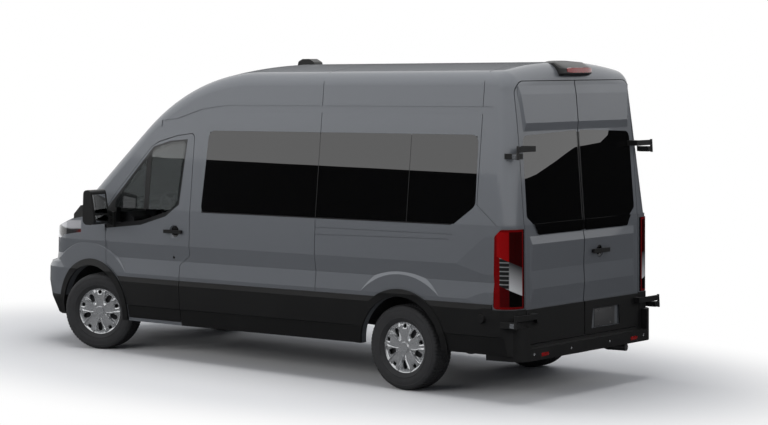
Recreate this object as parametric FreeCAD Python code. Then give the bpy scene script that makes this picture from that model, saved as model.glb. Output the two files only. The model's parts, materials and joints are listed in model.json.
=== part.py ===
import FreeCAD, Part
import math
import os

# A full-size passenger minibus with a high roof. Millimetres. The body is drawn with its origin at the
# front axle's centre line on the ground: X forward, Y left, Z up. The last section tips the body by its
# rake and moves everything so that the origin lies on the ground under the middle of the vehicle.

V = FreeCAD.Vector

# Running gear
WHEELBASE = 3750.0
FRONT_OVERHANG = 1023.0
REAR_OVERHANG = 1208.0
TRACK_FRONT = 1732.0
TRACK_REAR = 1743.0
HUB_FACE = 20.0
AXLE_CASE_R = 150.0
KNUCKLE_LOW, KNUCKLE_HIGH = 120.0, 150.0
KNUCKLE_BOSS = 25.0
BALL_R = 28.0
STRUT_IN = 50.0
STRUT_R = 30.0
LEAF_HALF = 700.0
ENGINE_LOW = 420.0
TYRE_R = 356.0
TYRE_WIDTH = 235.0
RIM_R = 221.0
BEAD_DEPTH = 12.0
RIM_WALL = 12.0
COVER_THICK = 12.0
KINGPIN_Y = 750.0
STEER_REST_DEG = 19.5
RAKE_DEG = 1.02

# Side section: half-width of the body at each height, from the sill to the roof
SILL_Z, SILL_HALF = 300.0, 992.0
STEP_Z, STEP_HALF = 450.0, 1010.0
CLAD_Z, CLAD_HALF = 707.0, 1019.0
LOW_CREASE_Z, LOW_CREASE_HALF = 742.0, 1023.0
SCALLOP_Z, SCALLOP_HALF = 880.0, 1005.0
HIGH_CREASE_Z, HIGH_CREASE_HALF = 1022.0, 1027.0
BELT_Z, BELT_HALF = 1340.0, 1010.0
TUMBLE_TOP_Z, TUMBLE_TOP_HALF = 2250.0, 905.0
SIDE_CURVE_R = 18000.0
B_PILLAR_X = -1335.0
SIDE_IN, SIDE_OUT = 300.0, 1400.0

# Top profile on the centre line
ROOF_Z = 2640.0
CROWN_R = 4500.0
SCREEN_BASE_X, SCREEN_BASE_Z = 330.0, 1340.0
SCREEN_SLOPE_DEG = 39.6
FOREHEAD_Z = 2160.0
REAR_FACE_X = -4885.0
REAR_LEAN_DEG = 4.24
REAR_TOP_R = 150.0
ROOF_EDGE_R = 130.0
LOWER_CORNER_R = 130.0

# Wall thicknesses
WALL = 55.0
ROOF_WALL = 45.0
HOOD_WALL = 30.0
GLASS = 6.0
SEAM = 6.0
SEAT = 0.3
BANDS = 4
CLAD = 12.0
FLARE = 18.0
CLAD_BEVEL = 45.0
CLAD_STEP = 6.0
SWAGE_R = 640.0
GROOVE = 6.0
GUTTER_DEEP = 60.0
GUTTER_START_X, GUTTER_END_X = -900.0, -4640.0
GUTTER_Z = 2286.0
QUARTER_SEAM_X = -4535.0

# Nose
NOSE_ARC_R = 1400.0
NOSE_CORNER_R = 350.0
NOSE_CUT_X = -210.0
NOSE_FACE_X, NOSE_BELT_X = 905.0, 850.0
BUMPER_TOP_Z = 790.0
GRILLE_X = 895.0
NOSE_BACK = -420.0
HOOD_FRONT = (885.0, 1040.0)
HOOD_MID = (548.0, 1262.0)
HOOD_REAR = (330.0, 1345.0)
HOOD_CROWN_R = 3000.0
HOOD_HALF_FRONT = 659.0
HOOD_DRAFT = 0.15
HOOD_HALF_REAR = 768.0
HOOD_REAR_X = 396.0
HOOD_LIP_Z = 1030.0
HOOD_HINGE_X, HOOD_HINGE_Z = 340.0, 1290.0
HOOD_HINGE_Y = 300.0
HOOD_BARREL_R = 9.0
HOOD_LUG = 14.0
COWL_FRONT_X = 384.0
COWL_REAR_X = 120.0
COWL_HALF = 830.0

# Wheel arches
ARCH_R = 430.0
FLARE_R = 492.0
LINER_R = 462.0
LINER_WALL = 8.0
LINER_IN = 520.0

# Front door
DOOR_FRONT_X = -210.0
DOOR_BOTTOM_Z = 330.0
DOOR_ARCH_R = 500.0
DOOR_HINGE_X = -212.0
DOOR_HINGE_Y = 993.0
DOOR_BARREL_R = 7.0
DOOR_HINGES = (985.0, 1120.0)
DOOR_BARREL = 30.0
FLAP_X = -1200.0
FLAP_LOW, FLAP_HIGH = 850.0, 940.0
HANDLE_X, HANDLE_Z, HANDLE_LENGTH = -1140.0, 1150.0, 225.0
CUP_R, CUP_DEEP = 60.0, 20.0
DIVIDER_X, DIVIDER_WIDTH = -800.0, 65.0
MIRROR_FRONT_X, MIRROR_BACK_X = -190.0, -355.0

# Windows
SIDE_GLASS_FRONT_X = -1465.0
SIDE_GLASS_REAR_X = -4520.0
SIDE_GLASS_TOP = 2060.0
SIDE_GLASS_BOTTOM = 1320.0
GLASS_SEAM_1 = -2825.0
GLASS_SEAM_2 = -3820.0
WINDOW_CORNER_R = 70.0
GLASS_RIM = 30.0
SLIDING_SEAM = -2825.0
SLIDING_TOP_Z = 2215.0
SLIDING_POST = 60.0

# Rear doors
REAR_DOOR_HALF = 826.0
REAR_DOOR_BOTTOM = 375.0
REAR_DOOR_TOP = 2490.0
REAR_HINGE_X = -4937.0
REAR_HINGE_Y = 1002.0
REAR_HINGE_LEAN_DEG = 1.0
REAR_HINGE_SPLAY_DEG = 3.16
REAR_HINGE_Z = (580.0, 1920.0)
REAR_BARREL_R = 11.0
REAR_GLASS_HALF = 770.0
REAR_GLASS_BOTTOM = 1250.0
REAR_GLASS_TOP = 2070.0
MEETING_GAP = 12.0
REAR_CLAD_TOP = 660.0
REAR_HANDLE_Y, REAR_HANDLE_Z, REAR_HANDLE_LENGTH = 225.0, 1070.0, 240.0
REAR_HANDLE_PROUD = 40.0
BUFFER_Y, BUFFER_Z, BUFFER_LENGTH = 690.0, 575.0, 36.0
MAGNET_X, MAGNET_Z = -4600.0, 590.0
DOOR_SWELL = 12.0
SWELL_HALF = 795.0

# Floor and cabin
FLOOR_Z = 640.0
FLOOR_THICK = 40.0
RAIL_Y = 430.0
RAIL_DEEP = 110.0
FIREWALL_X = -60.0
TOW_BAR_X = -4500.0
TOW_SPACING = 120.0
TOW_HOLE_R = 6.5
STEERING_X, STEERING_Y, STEERING_Z = -600.0, 430.0, 1290.0
STEERING_COLUMN_DEG = 32.0

# Lamps and small fittings
LAMP_BOTTOM, LAMP_TOP = 675.0, 1310.0
LAMP_FRONT_X = -4715.0
LAMP_PROUD = 8.0
POD_X, POD_Z = -1900.0, 2650.0
BUMPER_LOW, BUMPER_HIGH, WING_TOP = 255.0, 352.0, 525.0
WING_Y = 850.0
PLATE_NEAR, PLATE_FAR = 100.0, 525.0
PLATE_LOW, PLATE_HIGH = 425.0, 590.0
PLATE_DEEP = 25.0

# Where the level ground and the raked body meet
RAKE = math.radians(RAKE_DEG)
REAR_X = -WHEELBASE * math.cos(RAKE)
REAR_Z = TYRE_R - WHEELBASE * math.sin(RAKE)
TOW_BAR_Z = FLOOR_Z - FLOOR_THICK - 60.0 - TOW_BAR_X * math.sin(RAKE)
MIDDLE_X = 0.5 * (FRONT_OVERHANG - WHEELBASE - REAR_OVERHANG)

FAR = 3000.0


# General shapes

def box(x0, x1, y0, y1, z0, z1):
    return Part.makeBox(x1 - x0, y1 - y0, z1 - z0, V(x0, y0, z0))


def line(a, b):
    return Part.LineSegment(a, b).toShape()


def arc(a, b, c):
    return Part.Arc(a, b, c).toShape()


def bar(r, start, end):
    way = end - start
    return Part.makeCylinder(r, way.Length, start, way)


def disc(r, centre, axis, length):
    return Part.makeCylinder(r, length, centre, axis)


def tapered(r0, r1, start, axis, length):
    return Part.makeCone(r0, r1, length, start, axis)


def rounded(points, radius):
    """A closed outline in 2D with every corner rounded: a list of ('line', a, b) and ('arc', a, m, b)."""
    parts = []
    count = len(points)
    cuts = []
    for i in range(count):
        p = points[i]
        prev = points[i - 1]
        nxt = points[(i + 1) % count]
        r = radius[i] if isinstance(radius, (list, tuple)) else radius
        ax, ay = prev[0] - p[0], prev[1] - p[1]
        bx, by = nxt[0] - p[0], nxt[1] - p[1]
        la, lb = math.hypot(ax, ay), math.hypot(bx, by)
        ax, ay, bx, by = ax / la, ay / la, bx / lb, by / lb
        half = 0.5 * math.acos(max(-1.0, min(1.0, ax * bx + ay * by)))
        reach = r / math.tan(half)
        if r <= 0.0:
            cuts.append((p, p, p))
            continue
        start = (p[0] + ax * reach, p[1] + ay * reach)
        end = (p[0] + bx * reach, p[1] + by * reach)
        mx, my = ax + bx, ay + by
        lm = math.hypot(mx, my)
        depth = r / math.sin(half) - r
        middle = (p[0] + mx / lm * depth, p[1] + my / lm * depth)
        cuts.append((start, middle, end))
    for i in range(count):
        start, middle, end = cuts[i]
        if start != end:
            parts.append(("arc", start, middle, end))
        parts.append(("line", end, cuts[(i + 1) % count][0]))
    return parts


def face_of(points, radius, place):
    edges = []
    for piece in rounded(points, radius):
        spots = [place(p) for p in piece[1:]]
        if piece[0] == "arc":
            edges.append(arc(*spots))
        else:
            edges.append(line(*spots))
    return Part.Face(Part.Wire(edges))


def prism_y(points, y0, y1, radius=0.0):
    """Outline in X and Z, carried along Y."""
    return face_of(points, radius, lambda p: V(p[0], y0, p[1])).extrude(V(0, y1 - y0, 0))


def left_prism(points, radius=0.0):
    """Outline seen from the side, carried across the left side of the body."""
    return prism_y(points, SIDE_IN, SIDE_OUT, radius)


def prism_z(points, z0, z1, radius=0.0):
    """Outline in X and Y, carried along Z."""
    return face_of(points, radius, lambda p: V(p[0], p[1], z0)).extrude(V(0, 0, z1 - z0))


def prism_x(points, x0, x1, radius=0.0):
    """Outline in Y and Z, carried along X."""
    return face_of(points, radius, lambda p: V(x0, p[0], p[1])).extrude(V(x1 - x0, 0, 0))


def mirrored(shape):
    return shape.mirror(V(0, 0, 0), V(0, 1, 0))


def fused(shapes):
    shapes = list(shapes)
    if len(shapes) == 1:
        return shapes[0]
    return shapes[0].fuse(shapes[1:]).removeSplitter()


def together(shapes):
    solids = []
    for shape in shapes:
        solids += shape.Solids
    return Part.Compound(solids)


def biggest(shape):
    return max(shape.Solids, key=lambda s: s.Volume)


def only_large(shape, least):
    return Part.Compound([s for s in shape.Solids if s.Volume > least])


# Side section

def side_levels(grow):
    rows = [(SILL_Z, SILL_HALF), (STEP_Z, STEP_HALF), (CLAD_Z, CLAD_HALF), (LOW_CREASE_Z, LOW_CREASE_HALF),
            (SCALLOP_Z, SCALLOP_HALF), (HIGH_CREASE_Z, HIGH_CREASE_HALF), (BELT_Z, BELT_HALF)]
    return [(z, half + grow) for z, half in rows]


def tumble_half(z, grow=0.0):
    lean = (BELT_HALF - TUMBLE_TOP_HALF) / (TUMBLE_TOP_Z - BELT_Z)
    return BELT_HALF + grow - lean * (z - BELT_Z)


def side_half_body(points):
    """The left half of the body from its section: straight behind the B-pillar, curved ahead of it."""
    spots = [V(B_PILLAR_X, y, z) for y, z in points]
    face = Part.Face(Part.makePolygon(spots + [spots[0]]))
    rear = face.extrude(V(REAR_FACE_X - 300.0 - B_PILLAR_X, 0, 0))
    front = face.revolve(V(B_PILLAR_X, BELT_HALF - SIDE_CURVE_R, 0), V(0, 0, 1), -9.0)
    return rear.fuse(front).removeSplitter()


def side_lower(grow=0.0, bottom=SILL_Z):
    rows = side_levels(grow)
    points = [(0.0, bottom)]
    if bottom < SILL_Z:
        points.append((rows[0][1], bottom))
    points += [(half, z) for z, half in rows]
    points.append((0.0, BELT_Z))
    half = side_half_body(points)
    return half.fuse(mirrored(half)).removeSplitter()


def side_upper(grow=0.0, bottom=BELT_Z):
    above = ROOF_Z + 200.0
    points = [(0.0, bottom), (tumble_half(bottom, grow), bottom)]
    points += [(tumble_half(above, grow), above), (0.0, above)]
    half = side_half_body(points)
    return half.fuse(mirrored(half)).removeSplitter()


# Top body: the centre-line profile turned about a long axis far below, which gives every surface its crown

def top_body(inset=0.0, screen_inset=0.0, rear_inset=0.0):
    slope = math.radians(SCREEN_SLOPE_DEG)
    lean = math.radians(REAR_LEAN_DEG)
    axis_z = ROOF_Z - CROWN_R
    start_x = SCREEN_BASE_X - (FOREHEAD_Z - SCREEN_BASE_Z) / math.tan(slope)
    brow_r = (ROOF_Z - FOREHEAD_Z) / (1 - math.cos(slope))
    brow_x = start_x - brow_r * math.sin(slope)
    brow_z = ROOF_Z - brow_r
    r = brow_r - inset
    foot = 240.0

    def brow(angle):
        return V(brow_x + r * math.sin(angle), 0, brow_z + r * math.cos(angle))

    glass_top = brow(slope)
    shift = screen_inset - inset
    low = V(glass_top.x + foot * 5.0 * math.cos(slope), 0, glass_top.z - foot * 5.0 * math.sin(slope))
    push = V(-math.sin(slope) * shift, 0, -math.cos(slope) * shift)
    edges = []
    if shift > 0.01:
        edges = [line(low + push, glass_top + push), line(glass_top + push, glass_top)]
    else:
        edges = [line(low, glass_top)]
    if inset > 0.0:
        spots = [brow(slope * k / BANDS) for k in range(BANDS, -1, -1)]
        edges += [line(a, b) for a, b in zip(spots, spots[1:])]
    else:
        edges.append(arc(brow(slope), brow(0.5 * slope), brow(0.0)))
    rear_r = max(REAR_TOP_R - inset, 20.0)
    face_x = REAR_FACE_X + rear_inset
    turn = math.pi / 2 - lean
    top = ROOF_Z - inset
    centre_z = top - rear_r
    centre_x = face_x + (centre_z - BELT_Z) * math.tan(lean) + rear_r / math.cos(lean)

    def tail(angle):
        return V(centre_x - rear_r * math.sin(angle), 0, centre_z + rear_r * math.cos(angle))

    edges.append(line(brow(0.0), tail(0.0)))
    if inset > 0.0:
        edges += [line(tail(0.0), tail(0.5 * turn)), line(tail(0.5 * turn), tail(turn))]
    else:
        edges.append(arc(tail(0.0), tail(0.5 * turn), tail(turn)))
    base = V(face_x - foot * math.tan(lean), 0, BELT_Z - foot)
    edges.append(line(tail(turn), base))
    corner = V(edges[0].Vertexes[0].Point.x, 0, BELT_Z - foot)
    first = edges[0].Vertexes[0].Point
    if (first - corner).Length > 0.01:
        edges.append(line(base, corner))
        edges.append(line(corner, first))
    else:
        edges.append(line(base, first))
    face = Part.Face(Part.Wire(Part.sortEdges(edges)[0]))
    left = face.revolve(V(0, 0, axis_z), V(1, 0, 0), 20.0)
    right = face.revolve(V(0, 0, axis_z), V(1, 0, 0), -20.0)
    return left.fuse(right).removeSplitter()


def roof_edges(shape):
    """The long soft edge: windscreen pillar, brow, roof side, roof back and rear corner, on both sides."""
    found = []
    for edge in shape.Edges:
        b = edge.BoundBox
        on_side = b.YMin > 700.0 or b.YMax < -700.0
        level = b.ZMax - b.ZMin < 1.0 and b.ZMin < BELT_Z + 1.0
        seam_line = abs(b.XMin - B_PILLAR_X) < 1.0 and b.XMax - b.XMin < 1.0
        if on_side and not level and not seam_line:
            found.append(edge)
    return found


def upper_outer():
    body = side_upper().common(top_body()).removeSplitter()
    return body.makeFillet(ROOF_EDGE_R, roof_edges(body))


def upper_inner(wall, roof_wall, rear_wall):
    return side_upper(-wall, BELT_Z - 60.0).common(top_body(roof_wall, roof_wall, rear_wall))


def rear_plan(inset=0.0):
    """Vertical prism that rounds the lower rear corners."""
    r = LOWER_CORNER_R
    tangent = SCALLOP_HALF + 10.0
    back = REAR_FACE_X + inset
    half = tangent - inset
    r = r - min(inset, r - 20.0)
    flare_out = half + 40.0
    points = [(back, -half), (back + r * 2.0, -half), (back + 1200.0, -flare_out), (1200.0, -flare_out),
              (1200.0, flare_out), (back + 1200.0, flare_out), (back + r * 2.0, half), (back, half)]
    return prism_z(points, SILL_Z - 200.0, BELT_Z + 200.0, [r, 0, 0, 0, 0, 0, 0, r])


def swage_zone(x, z, at_y, slope):
    """The raised round of the panel about a wheel arch on the left, with an edge that slopes outwards."""
    deep, out = 95.0, 50.0
    start = V(x, at_y - deep, z)
    cone = tapered(SWAGE_R + slope * deep, SWAGE_R - slope * out, start, V(0, 1, 0), deep + out)
    return cone.cut(arch_cut(x, z, FLARE_R + SEAT, at_y - deep - 10.0))


def front_swage():
    return swage_zone(0.0, TYRE_R, 975.0, 0.8)


def side_swages():
    """Both arches' swages on the parts behind the nose: filled out to the line of the creases."""
    points = [(0.0, LOW_CREASE_Z), (LOW_CREASE_HALF, LOW_CREASE_Z), (LOW_CREASE_HALF, HIGH_CREASE_Z),
              (0.0, HIGH_CREASE_Z)]
    slab = side_half_body(points)
    front = slab.common(front_swage()).common(behind(NOSE_CUT_X))
    rear = slab.common(swage_zone(REAR_X, REAR_Z, 1010.0, 2.0))
    return [front, rear]


def lower_outer():
    body = side_lower().common(rear_plan())
    swages = side_swages()
    return body.fuse(swages + [mirrored(s) for s in swages]).removeSplitter()


def lower_inner():
    return side_lower(-WALL, SILL_Z - 50.0).common(rear_plan(WALL))


# Nose body: rounded plan outlines stacked from the sill to above the hood, cut by the hood's crown

def nose_outline(z, half, nose, inset=0.0):
    half = half - inset
    nose = nose - inset
    nose_r = NOSE_ARC_R - inset
    corner_r = NOSE_CORNER_R - inset
    side_r = SIDE_CURVE_R + half - BELT_HALF
    fx = nose - nose_r
    sx, sy = B_PILLAR_X, BELT_HALF - SIDE_CURVE_R
    ra, rb = nose_r - corner_r, side_r - corner_r
    dx, dy = sx - fx, sy
    d = math.hypot(dx, dy)
    along = (ra * ra - rb * rb + d * d) / (2 * d)
    off = math.sqrt(ra * ra - along * along)
    ux, uy = dx / d, dy / d
    cx, cy = max((fx + along * ux - off * uy, along * uy + off * ux),
                 (fx + along * ux + off * uy, along * uy - off * ux))
    a0 = math.atan2(cy, cx - fx)
    a1 = math.atan2(cy - sy, cx - sx)
    back = math.acos((NOSE_BACK - sx) / side_r)

    def on(x, y, r, angle):
        return V(x + r * math.cos(angle), y + r * math.sin(angle), z)

    def bend(x, y, r, b0, b1):
        return arc(on(x, y, r, b0), on(x, y, r, 0.5 * (b0 + b1)), on(x, y, r, b1))

    start = on(sx, sy, side_r, back)
    end = V(start.x, -start.y, z)
    edges = [bend(sx, sy, side_r, back, a1), bend(cx, cy, corner_r, a1, a0), bend(fx, 0, nose_r, a0, -a0),
             bend(cx, -cy, corner_r, -a0, -a1), bend(sx, -sy, side_r, -a1, -back), line(end, start)]
    return Part.Wire(edges)


def hood_top(inset=0.0):
    """Everything under the hood's crowned surface."""
    axis_z = HOOD_REAR[1] - HOOD_CROWN_R
    front = V(HOOD_FRONT[0], 0, HOOD_FRONT[1] - inset)
    mid = V(HOOD_MID[0], 0, HOOD_MID[1] - inset)
    rear = V(HOOD_REAR[0], 0, HOOD_REAR[1] - inset)
    circle = Part.Circle(front, mid, rear)
    centre = circle.Center
    radius = circle.Radius
    first = 0.35

    def spot(share):
        angle = first + (0.5 * math.pi - first) * share
        return V(centre.x + radius * math.cos(angle), 0, centre.z + radius * math.sin(angle))

    lead = spot(0.0)
    crest = spot(1.0)
    if inset > 0.0:
        spots = [spot(k / BANDS) for k in range(BANDS + 1)]
        curve = [line(a, b) for a, b in zip(spots, spots[1:])]
    else:
        curve = [arc(lead, spot(0.5), crest)]
    back = V(-900.0, 0, crest.z)
    low_back = V(-900.0, 0, 100.0)
    low_front = V(lead.x, 0, 100.0)
    edges = curve + [line(crest, back), line(back, low_back)]
    edges += [line(low_back, low_front), line(low_front, lead)]
    face = Part.Face(Part.Wire(edges))
    left = face.revolve(V(0, 0, axis_z), V(1, 0, 0), 24.0)
    right = face.revolve(V(0, 0, axis_z), V(1, 0, 0), -24.0)
    return left.fuse(right).removeSplitter()


def nose_stack(inset=0.0):
    levels = [(SILL_Z, SILL_HALF, NOSE_FACE_X), (STEP_Z, STEP_HALF, 992.0), (600.0, 1014.0, FRONT_OVERHANG),
              (LOW_CREASE_Z, LOW_CREASE_HALF, 1010.0), (BUMPER_TOP_Z, 1016.0, 980.0),
              (812.0, 1013.0, NOSE_FACE_X), (SCALLOP_Z, SCALLOP_HALF, GRILLE_X),
              (HIGH_CREASE_Z, HIGH_CREASE_HALF, 878.0),
              (BELT_Z, BELT_HALF, NOSE_BELT_X)]
    wires = [nose_outline(z, half, nose, inset) for z, half, nose in levels]
    return Part.makeLoft(wires, True, True)


def nose_inner_stack(inset):
    levels = [(SILL_Z - 50.0, STEP_HALF, NOSE_FACE_X), (BUMPER_TOP_Z, SCALLOP_HALF, NOSE_FACE_X),
              (BELT_Z, SCALLOP_HALF, NOSE_BELT_X)]
    wires = [nose_outline(z, half, nose, inset) for z, half, nose in levels]
    return Part.makeLoft(wires, True, True)


def ahead(x):
    return box(x, FAR, -FAR, FAR, -FAR, FAR)


def behind(x):
    return box(-2 * FAR, x, -FAR, FAR, -FAR, FAR)


def arch_cut(x, z, radius, y0=0.0, y1=FAR):
    return disc(radius, V(x, y0, z), V(0, 1, 0), y1 - y0)


def both_sides(shape):
    return together([shape, mirrored(shape)])


# Outlines seen from the side

def door_outline(gap):
    """The front door's edge as seen from the side. A positive gap makes the door smaller on every edge."""
    front = DOOR_FRONT_X - gap
    rear = B_PILLAR_X + gap
    low = DOOR_BOTTOM_Z + gap
    flap = FLAP_X + gap
    points = [(front, low), (front, 1330.0), (-385.0 - gap, 1520.0), (-790.0 - gap, 1910.0),
              (-880.0 - gap, 1957.0 - gap), (-1100.0, 2010.0 - gap), (rear, 2040.0 - gap), (rear, FLAP_HIGH),
              (flap, FLAP_LOW), (flap, low)]
    shape = left_prism(points, [0, 30.0, 60.0, 60.0, 60.0, 0, 45.0, 20.0, 20.0, 20.0])
    return shape.cut(arch_cut(0.0, TYRE_R, DOOR_ARCH_R + gap))


def door_window(grow):
    points = [(-330.0 + grow, 1175.0 - grow), (-345.0 + grow, 1400.0), (-500.0 + grow, 1560.0),
              (-840.0, 1895.0 + grow), (-1050.0, 1950.0 + grow), (-1235.0 - grow, 1965.0 + grow),
              (-1180.0 - grow, 1400.0), (-1030.0, 1300.0 - grow), (-720.0, 1215.0 - grow)]
    return left_prism(points, [20.0, 40.0, 60.0, 60.0, 60.0, 40.0, 60.0, 60.0, 60.0])


def pane_outlines(first_end, second_start, fit):
    """The three side panes; fit makes each one smaller on every edge."""
    top = SIDE_GLASS_TOP - fit
    low = SIDE_GLASS_BOTTOM + fit
    half = 0.5 * SEAM + fit
    r = WINDOW_CORNER_R
    front = SIDE_GLASS_FRONT_X - fit
    rear = SIDE_GLASS_REAR_X + fit
    first = [(front, low), (front - 45.0, top), (first_end + half, top), (first_end + half, low)]
    second = [(second_start - half, low), (second_start - half, top), (GLASS_SEAM_2 + half, top),
              (GLASS_SEAM_2 + half, low)]
    third = [(GLASS_SEAM_2 - half, low), (GLASS_SEAM_2 - half, top), (rear + 10.0, top), (rear, 1490.0),
             (rear + 235.0, low)]
    split = 0.0 if first_end == second_start else r
    return [left_prism(first, [r, r, split, split]),
            left_prism(second, [split, split, 0.0, 0.0]),
            left_prism(third, [0.0, 0.0, r, r, r])]


def pane_holes(first_end, second_start):
    """The openings behind the panes, smaller all round so that each pane has a rim to lie on."""
    top = SIDE_GLASS_TOP - GLASS_RIM
    low = SIDE_GLASS_BOTTOM + GLASS_RIM
    r = WINDOW_CORNER_R - GLASS_RIM

    def hole(x0, x1):
        return left_prism([(x0, low), (x0, top), (x1, top), (x1, low)], r)

    rear = SIDE_GLASS_REAR_X + GLASS_RIM
    front = GLASS_SEAM_2 - GLASS_RIM
    last = [(front, low), (front, top), (rear + 10.0, top), (rear, 1500.0), (rear + 225.0, low)]
    return [hole(SIDE_GLASS_FRONT_X - 45.0 - GLASS_RIM, first_end + GLASS_RIM),
            hole(second_start - GLASS_RIM, GLASS_SEAM_2 + GLASS_RIM),
            left_prism(last, r)]


def roof_line(gap):
    """Everything above the gutter, seen from the side."""
    line_z = [(-560.0, 2120.0), (-1100.0, 2165.0), (-1400.0, 2250.0), (-1700.0, GUTTER_Z), (-5300.0, GUTTER_Z)]
    points = [(x, z + gap) for x, z in line_z]
    points += [(-5300.0, FAR), (400.0, FAR), (400.0, 2120.0 + gap)]
    return prism_y(points, -SIDE_OUT, SIDE_OUT, [0, 300.0, 300.0, 300.0, 0, 0, 0, 0])


def groove(points, width=GROOVE):
    """A narrow slot along a line of points seen from the side."""
    strips = []
    for (x0, z0), (x1, z1) in zip(points, points[1:]):
        length = math.hypot(x1 - x0, z1 - z0)
        nx, nz = 0.5 * width * (z1 - z0) / length, -0.5 * width * (x1 - x0) / length
        corners = [(x0 + nx, z0 + nz), (x1 + nx, z1 + nz), (x1 - nx, z1 - nz), (x0 - nx, z0 - nz)]
        strips.append(left_prism(corners))
    return strips


def upper_grooves():
    """Lines in the upper side: the recessed strip under the roof's edge and the two upright seams."""
    strip = roof_line(-GUTTER_DEEP).cut(roof_line(0.0))
    strip = strip.common(box(GUTTER_END_X, GUTTER_START_X, 0.0, FAR, 0.0, FAR))
    lamp_corner = (LAMP_FRONT_X - 60.0, LAMP_TOP + 5.0)
    quarter = groove([(QUARTER_SEAM_X, ROOF_Z), (QUARTER_SEAM_X, 1500.0), lamp_corner])
    middle = groove([(SLIDING_SEAM, ROOF_Z), (SLIDING_SEAM, SIDE_GLASS_TOP - 0.5 * GLASS_RIM)])
    return [strip] + quarter + middle


def lower_grooves():
    """The guide rail's lips in the rear quarter and the upright seam below the glass."""
    start = SLIDING_SEAM - 5.0
    rail = groove([(start, 1255.0), (-4300.0, 1255.0)]) + groove([(start, 1195.0), (-4260.0, 1215.0)])
    seam = groove([(SLIDING_SEAM, SIDE_GLASS_BOTTOM), (SLIDING_SEAM, CLAD_Z + 2.0)])
    return [g.cut(side_lower(-GROOVE)) for g in rail + seam]


def rear_opening(gap):
    half = REAR_DOOR_HALF - gap
    points = [(-half, REAR_DOOR_BOTTOM + gap), (-half, REAR_DOOR_TOP - gap), (half, REAR_DOOR_TOP - gap),
              (half, REAR_DOOR_BOTTOM + gap)]
    return prism_x(points, REAR_FACE_X - 300.0, REAR_FACE_X + 500.0, [20.0, 110.0, 110.0, 20.0])


def screen_opening(grow):
    points = [(-815.0 - grow, 1352.0 - grow), (-745.0 - grow, 2085.0 + grow), (745.0 + grow, 2085.0 + grow),
              (815.0 + grow, 1352.0 - grow)]
    return prism_x(points, -1300.0, 700.0, [60.0, 90.0, 90.0, 60.0])


def side_door_outline(gap):
    """The sliding door on the right, from the B-pillar to the first glass seam."""
    front = B_PILLAR_X - 60.0 - gap
    rear = SLIDING_SEAM + gap
    low, high = DOOR_BOTTOM_Z + gap, SLIDING_TOP_Z - gap
    return left_prism([(front, low), (front, high), (rear, high), (rear, low)], [20.0, 60.0, 60.0, 20.0])


# Body shells

def make_nose():
    solid = nose_stack().common(hood_top()).common(ahead(NOSE_CUT_X))
    rise = HIGH_CREASE_Z - LOW_CREASE_Z
    slab = Part.Face(nose_outline(LOW_CREASE_Z, LOW_CREASE_HALF, GRILLE_X)).extrude(V(0, 0, rise))
    swage = slab.common(front_swage()).common(ahead(NOSE_CUT_X)).common(hood_top())
    solid = solid.fuse([swage, mirrored(swage)]).removeSplitter()
    inner = nose_inner_stack(WALL).common(hood_top(HOOD_WALL))
    return solid, solid.cut(inner)


def door_pivot_cut(z0, z1):
    return disc(DOOR_BARREL_R + 1.0, V(DOOR_HINGE_X, DOOR_HINGE_Y, z0), V(0, 0, 1), z1 - z0)


def door_barrel(z0, z1):
    return disc(DOOR_BARREL_R, V(DOOR_HINGE_X, DOOR_HINGE_Y, z0), V(0, 0, 1), z1 - z0)


def hood_plan(gap):
    """The hood's outline from above, wider upwards so that the opening hood leaves the fenders at once."""
    rear, front = HOOD_REAR_X + gap, 1200.0
    low, high = HOOD_LIP_Z + gap, 1700.0
    sides = []
    for s in (1.0, -1.0):
        at_rear = s * (HOOD_HALF_REAR - gap)
        at_front = s * (HOOD_HALF_FRONT - gap)
        rise = s * HOOD_DRAFT * (high - low)
        foot = [V(rear, at_rear, low), V(front, at_front, low)]
        head = [V(front, at_front + rise, high), V(rear, at_rear + rise, high)]
        sides.append(foot + head)
    left, right = sides
    faces = [left, right]
    for i in range(4):
        j = (i + 1) % 4
        faces.append([left[i], left[j], right[j], right[i]])
    faces = [Part.Face(Part.makePolygon(corners + corners[:1])) for corners in faces]
    solid = Part.Solid(Part.Shell(faces))
    if solid.Volume < 0:
        solid.reverse()
    return solid


def lamp_front(gap):
    """Headlamp outline seen from the front, on the left."""
    points = [(600.0 + gap, 905.0 + gap), (585.0 + gap, 1042.0 - gap), (780.0, 1120.0 - gap),
              (985.0, 1215.0 - gap), (985.0, 1130.0), (900.0, 985.0 + gap)]
    return prism_x(points, 150.0, 1200.0, [20.0, 20.0, 0, 0, 0, 60.0])


def grille_front(gap):
    points = [(-545.0 + gap, 640.0 + gap), (-560.0 + gap, 1010.0 - gap), (560.0 - gap, 1010.0 - gap),
              (545.0 - gap, 640.0 + gap)]
    return prism_x(points, 700.0, 1200.0, [40.0, 30.0, 30.0, 40.0])


def grown_lower(grow):
    return side_lower(grow).common(rear_plan(-grow))


def clad_body():
    """The body with its moulded cladding on: set back below the step line, bevelled at the top."""
    bevel_z = CLAD_Z - CLAD_BEVEL
    bevel_half = STEP_HALF + (CLAD_HALF - STEP_HALF) * (bevel_z - STEP_Z) / (CLAD_Z - STEP_Z)
    low = CLAD - CLAD_STEP
    points = [(0.0, SILL_Z), (SILL_HALF + low, SILL_Z), (STEP_HALF + low, STEP_Z - CLAD_STEP),
              (STEP_HALF + CLAD, STEP_Z), (bevel_half + CLAD, bevel_z), (CLAD_HALF + 0.25 * CLAD, CLAD_Z),
              (0.0, CLAD_Z)]
    half = side_half_body(points)
    return half.fuse(mirrored(half)).removeSplitter().common(rear_plan(-CLAD))


# Wheels: the tyre and the rim with its cover, drawn round the Y axis, outer face towards +Y

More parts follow.
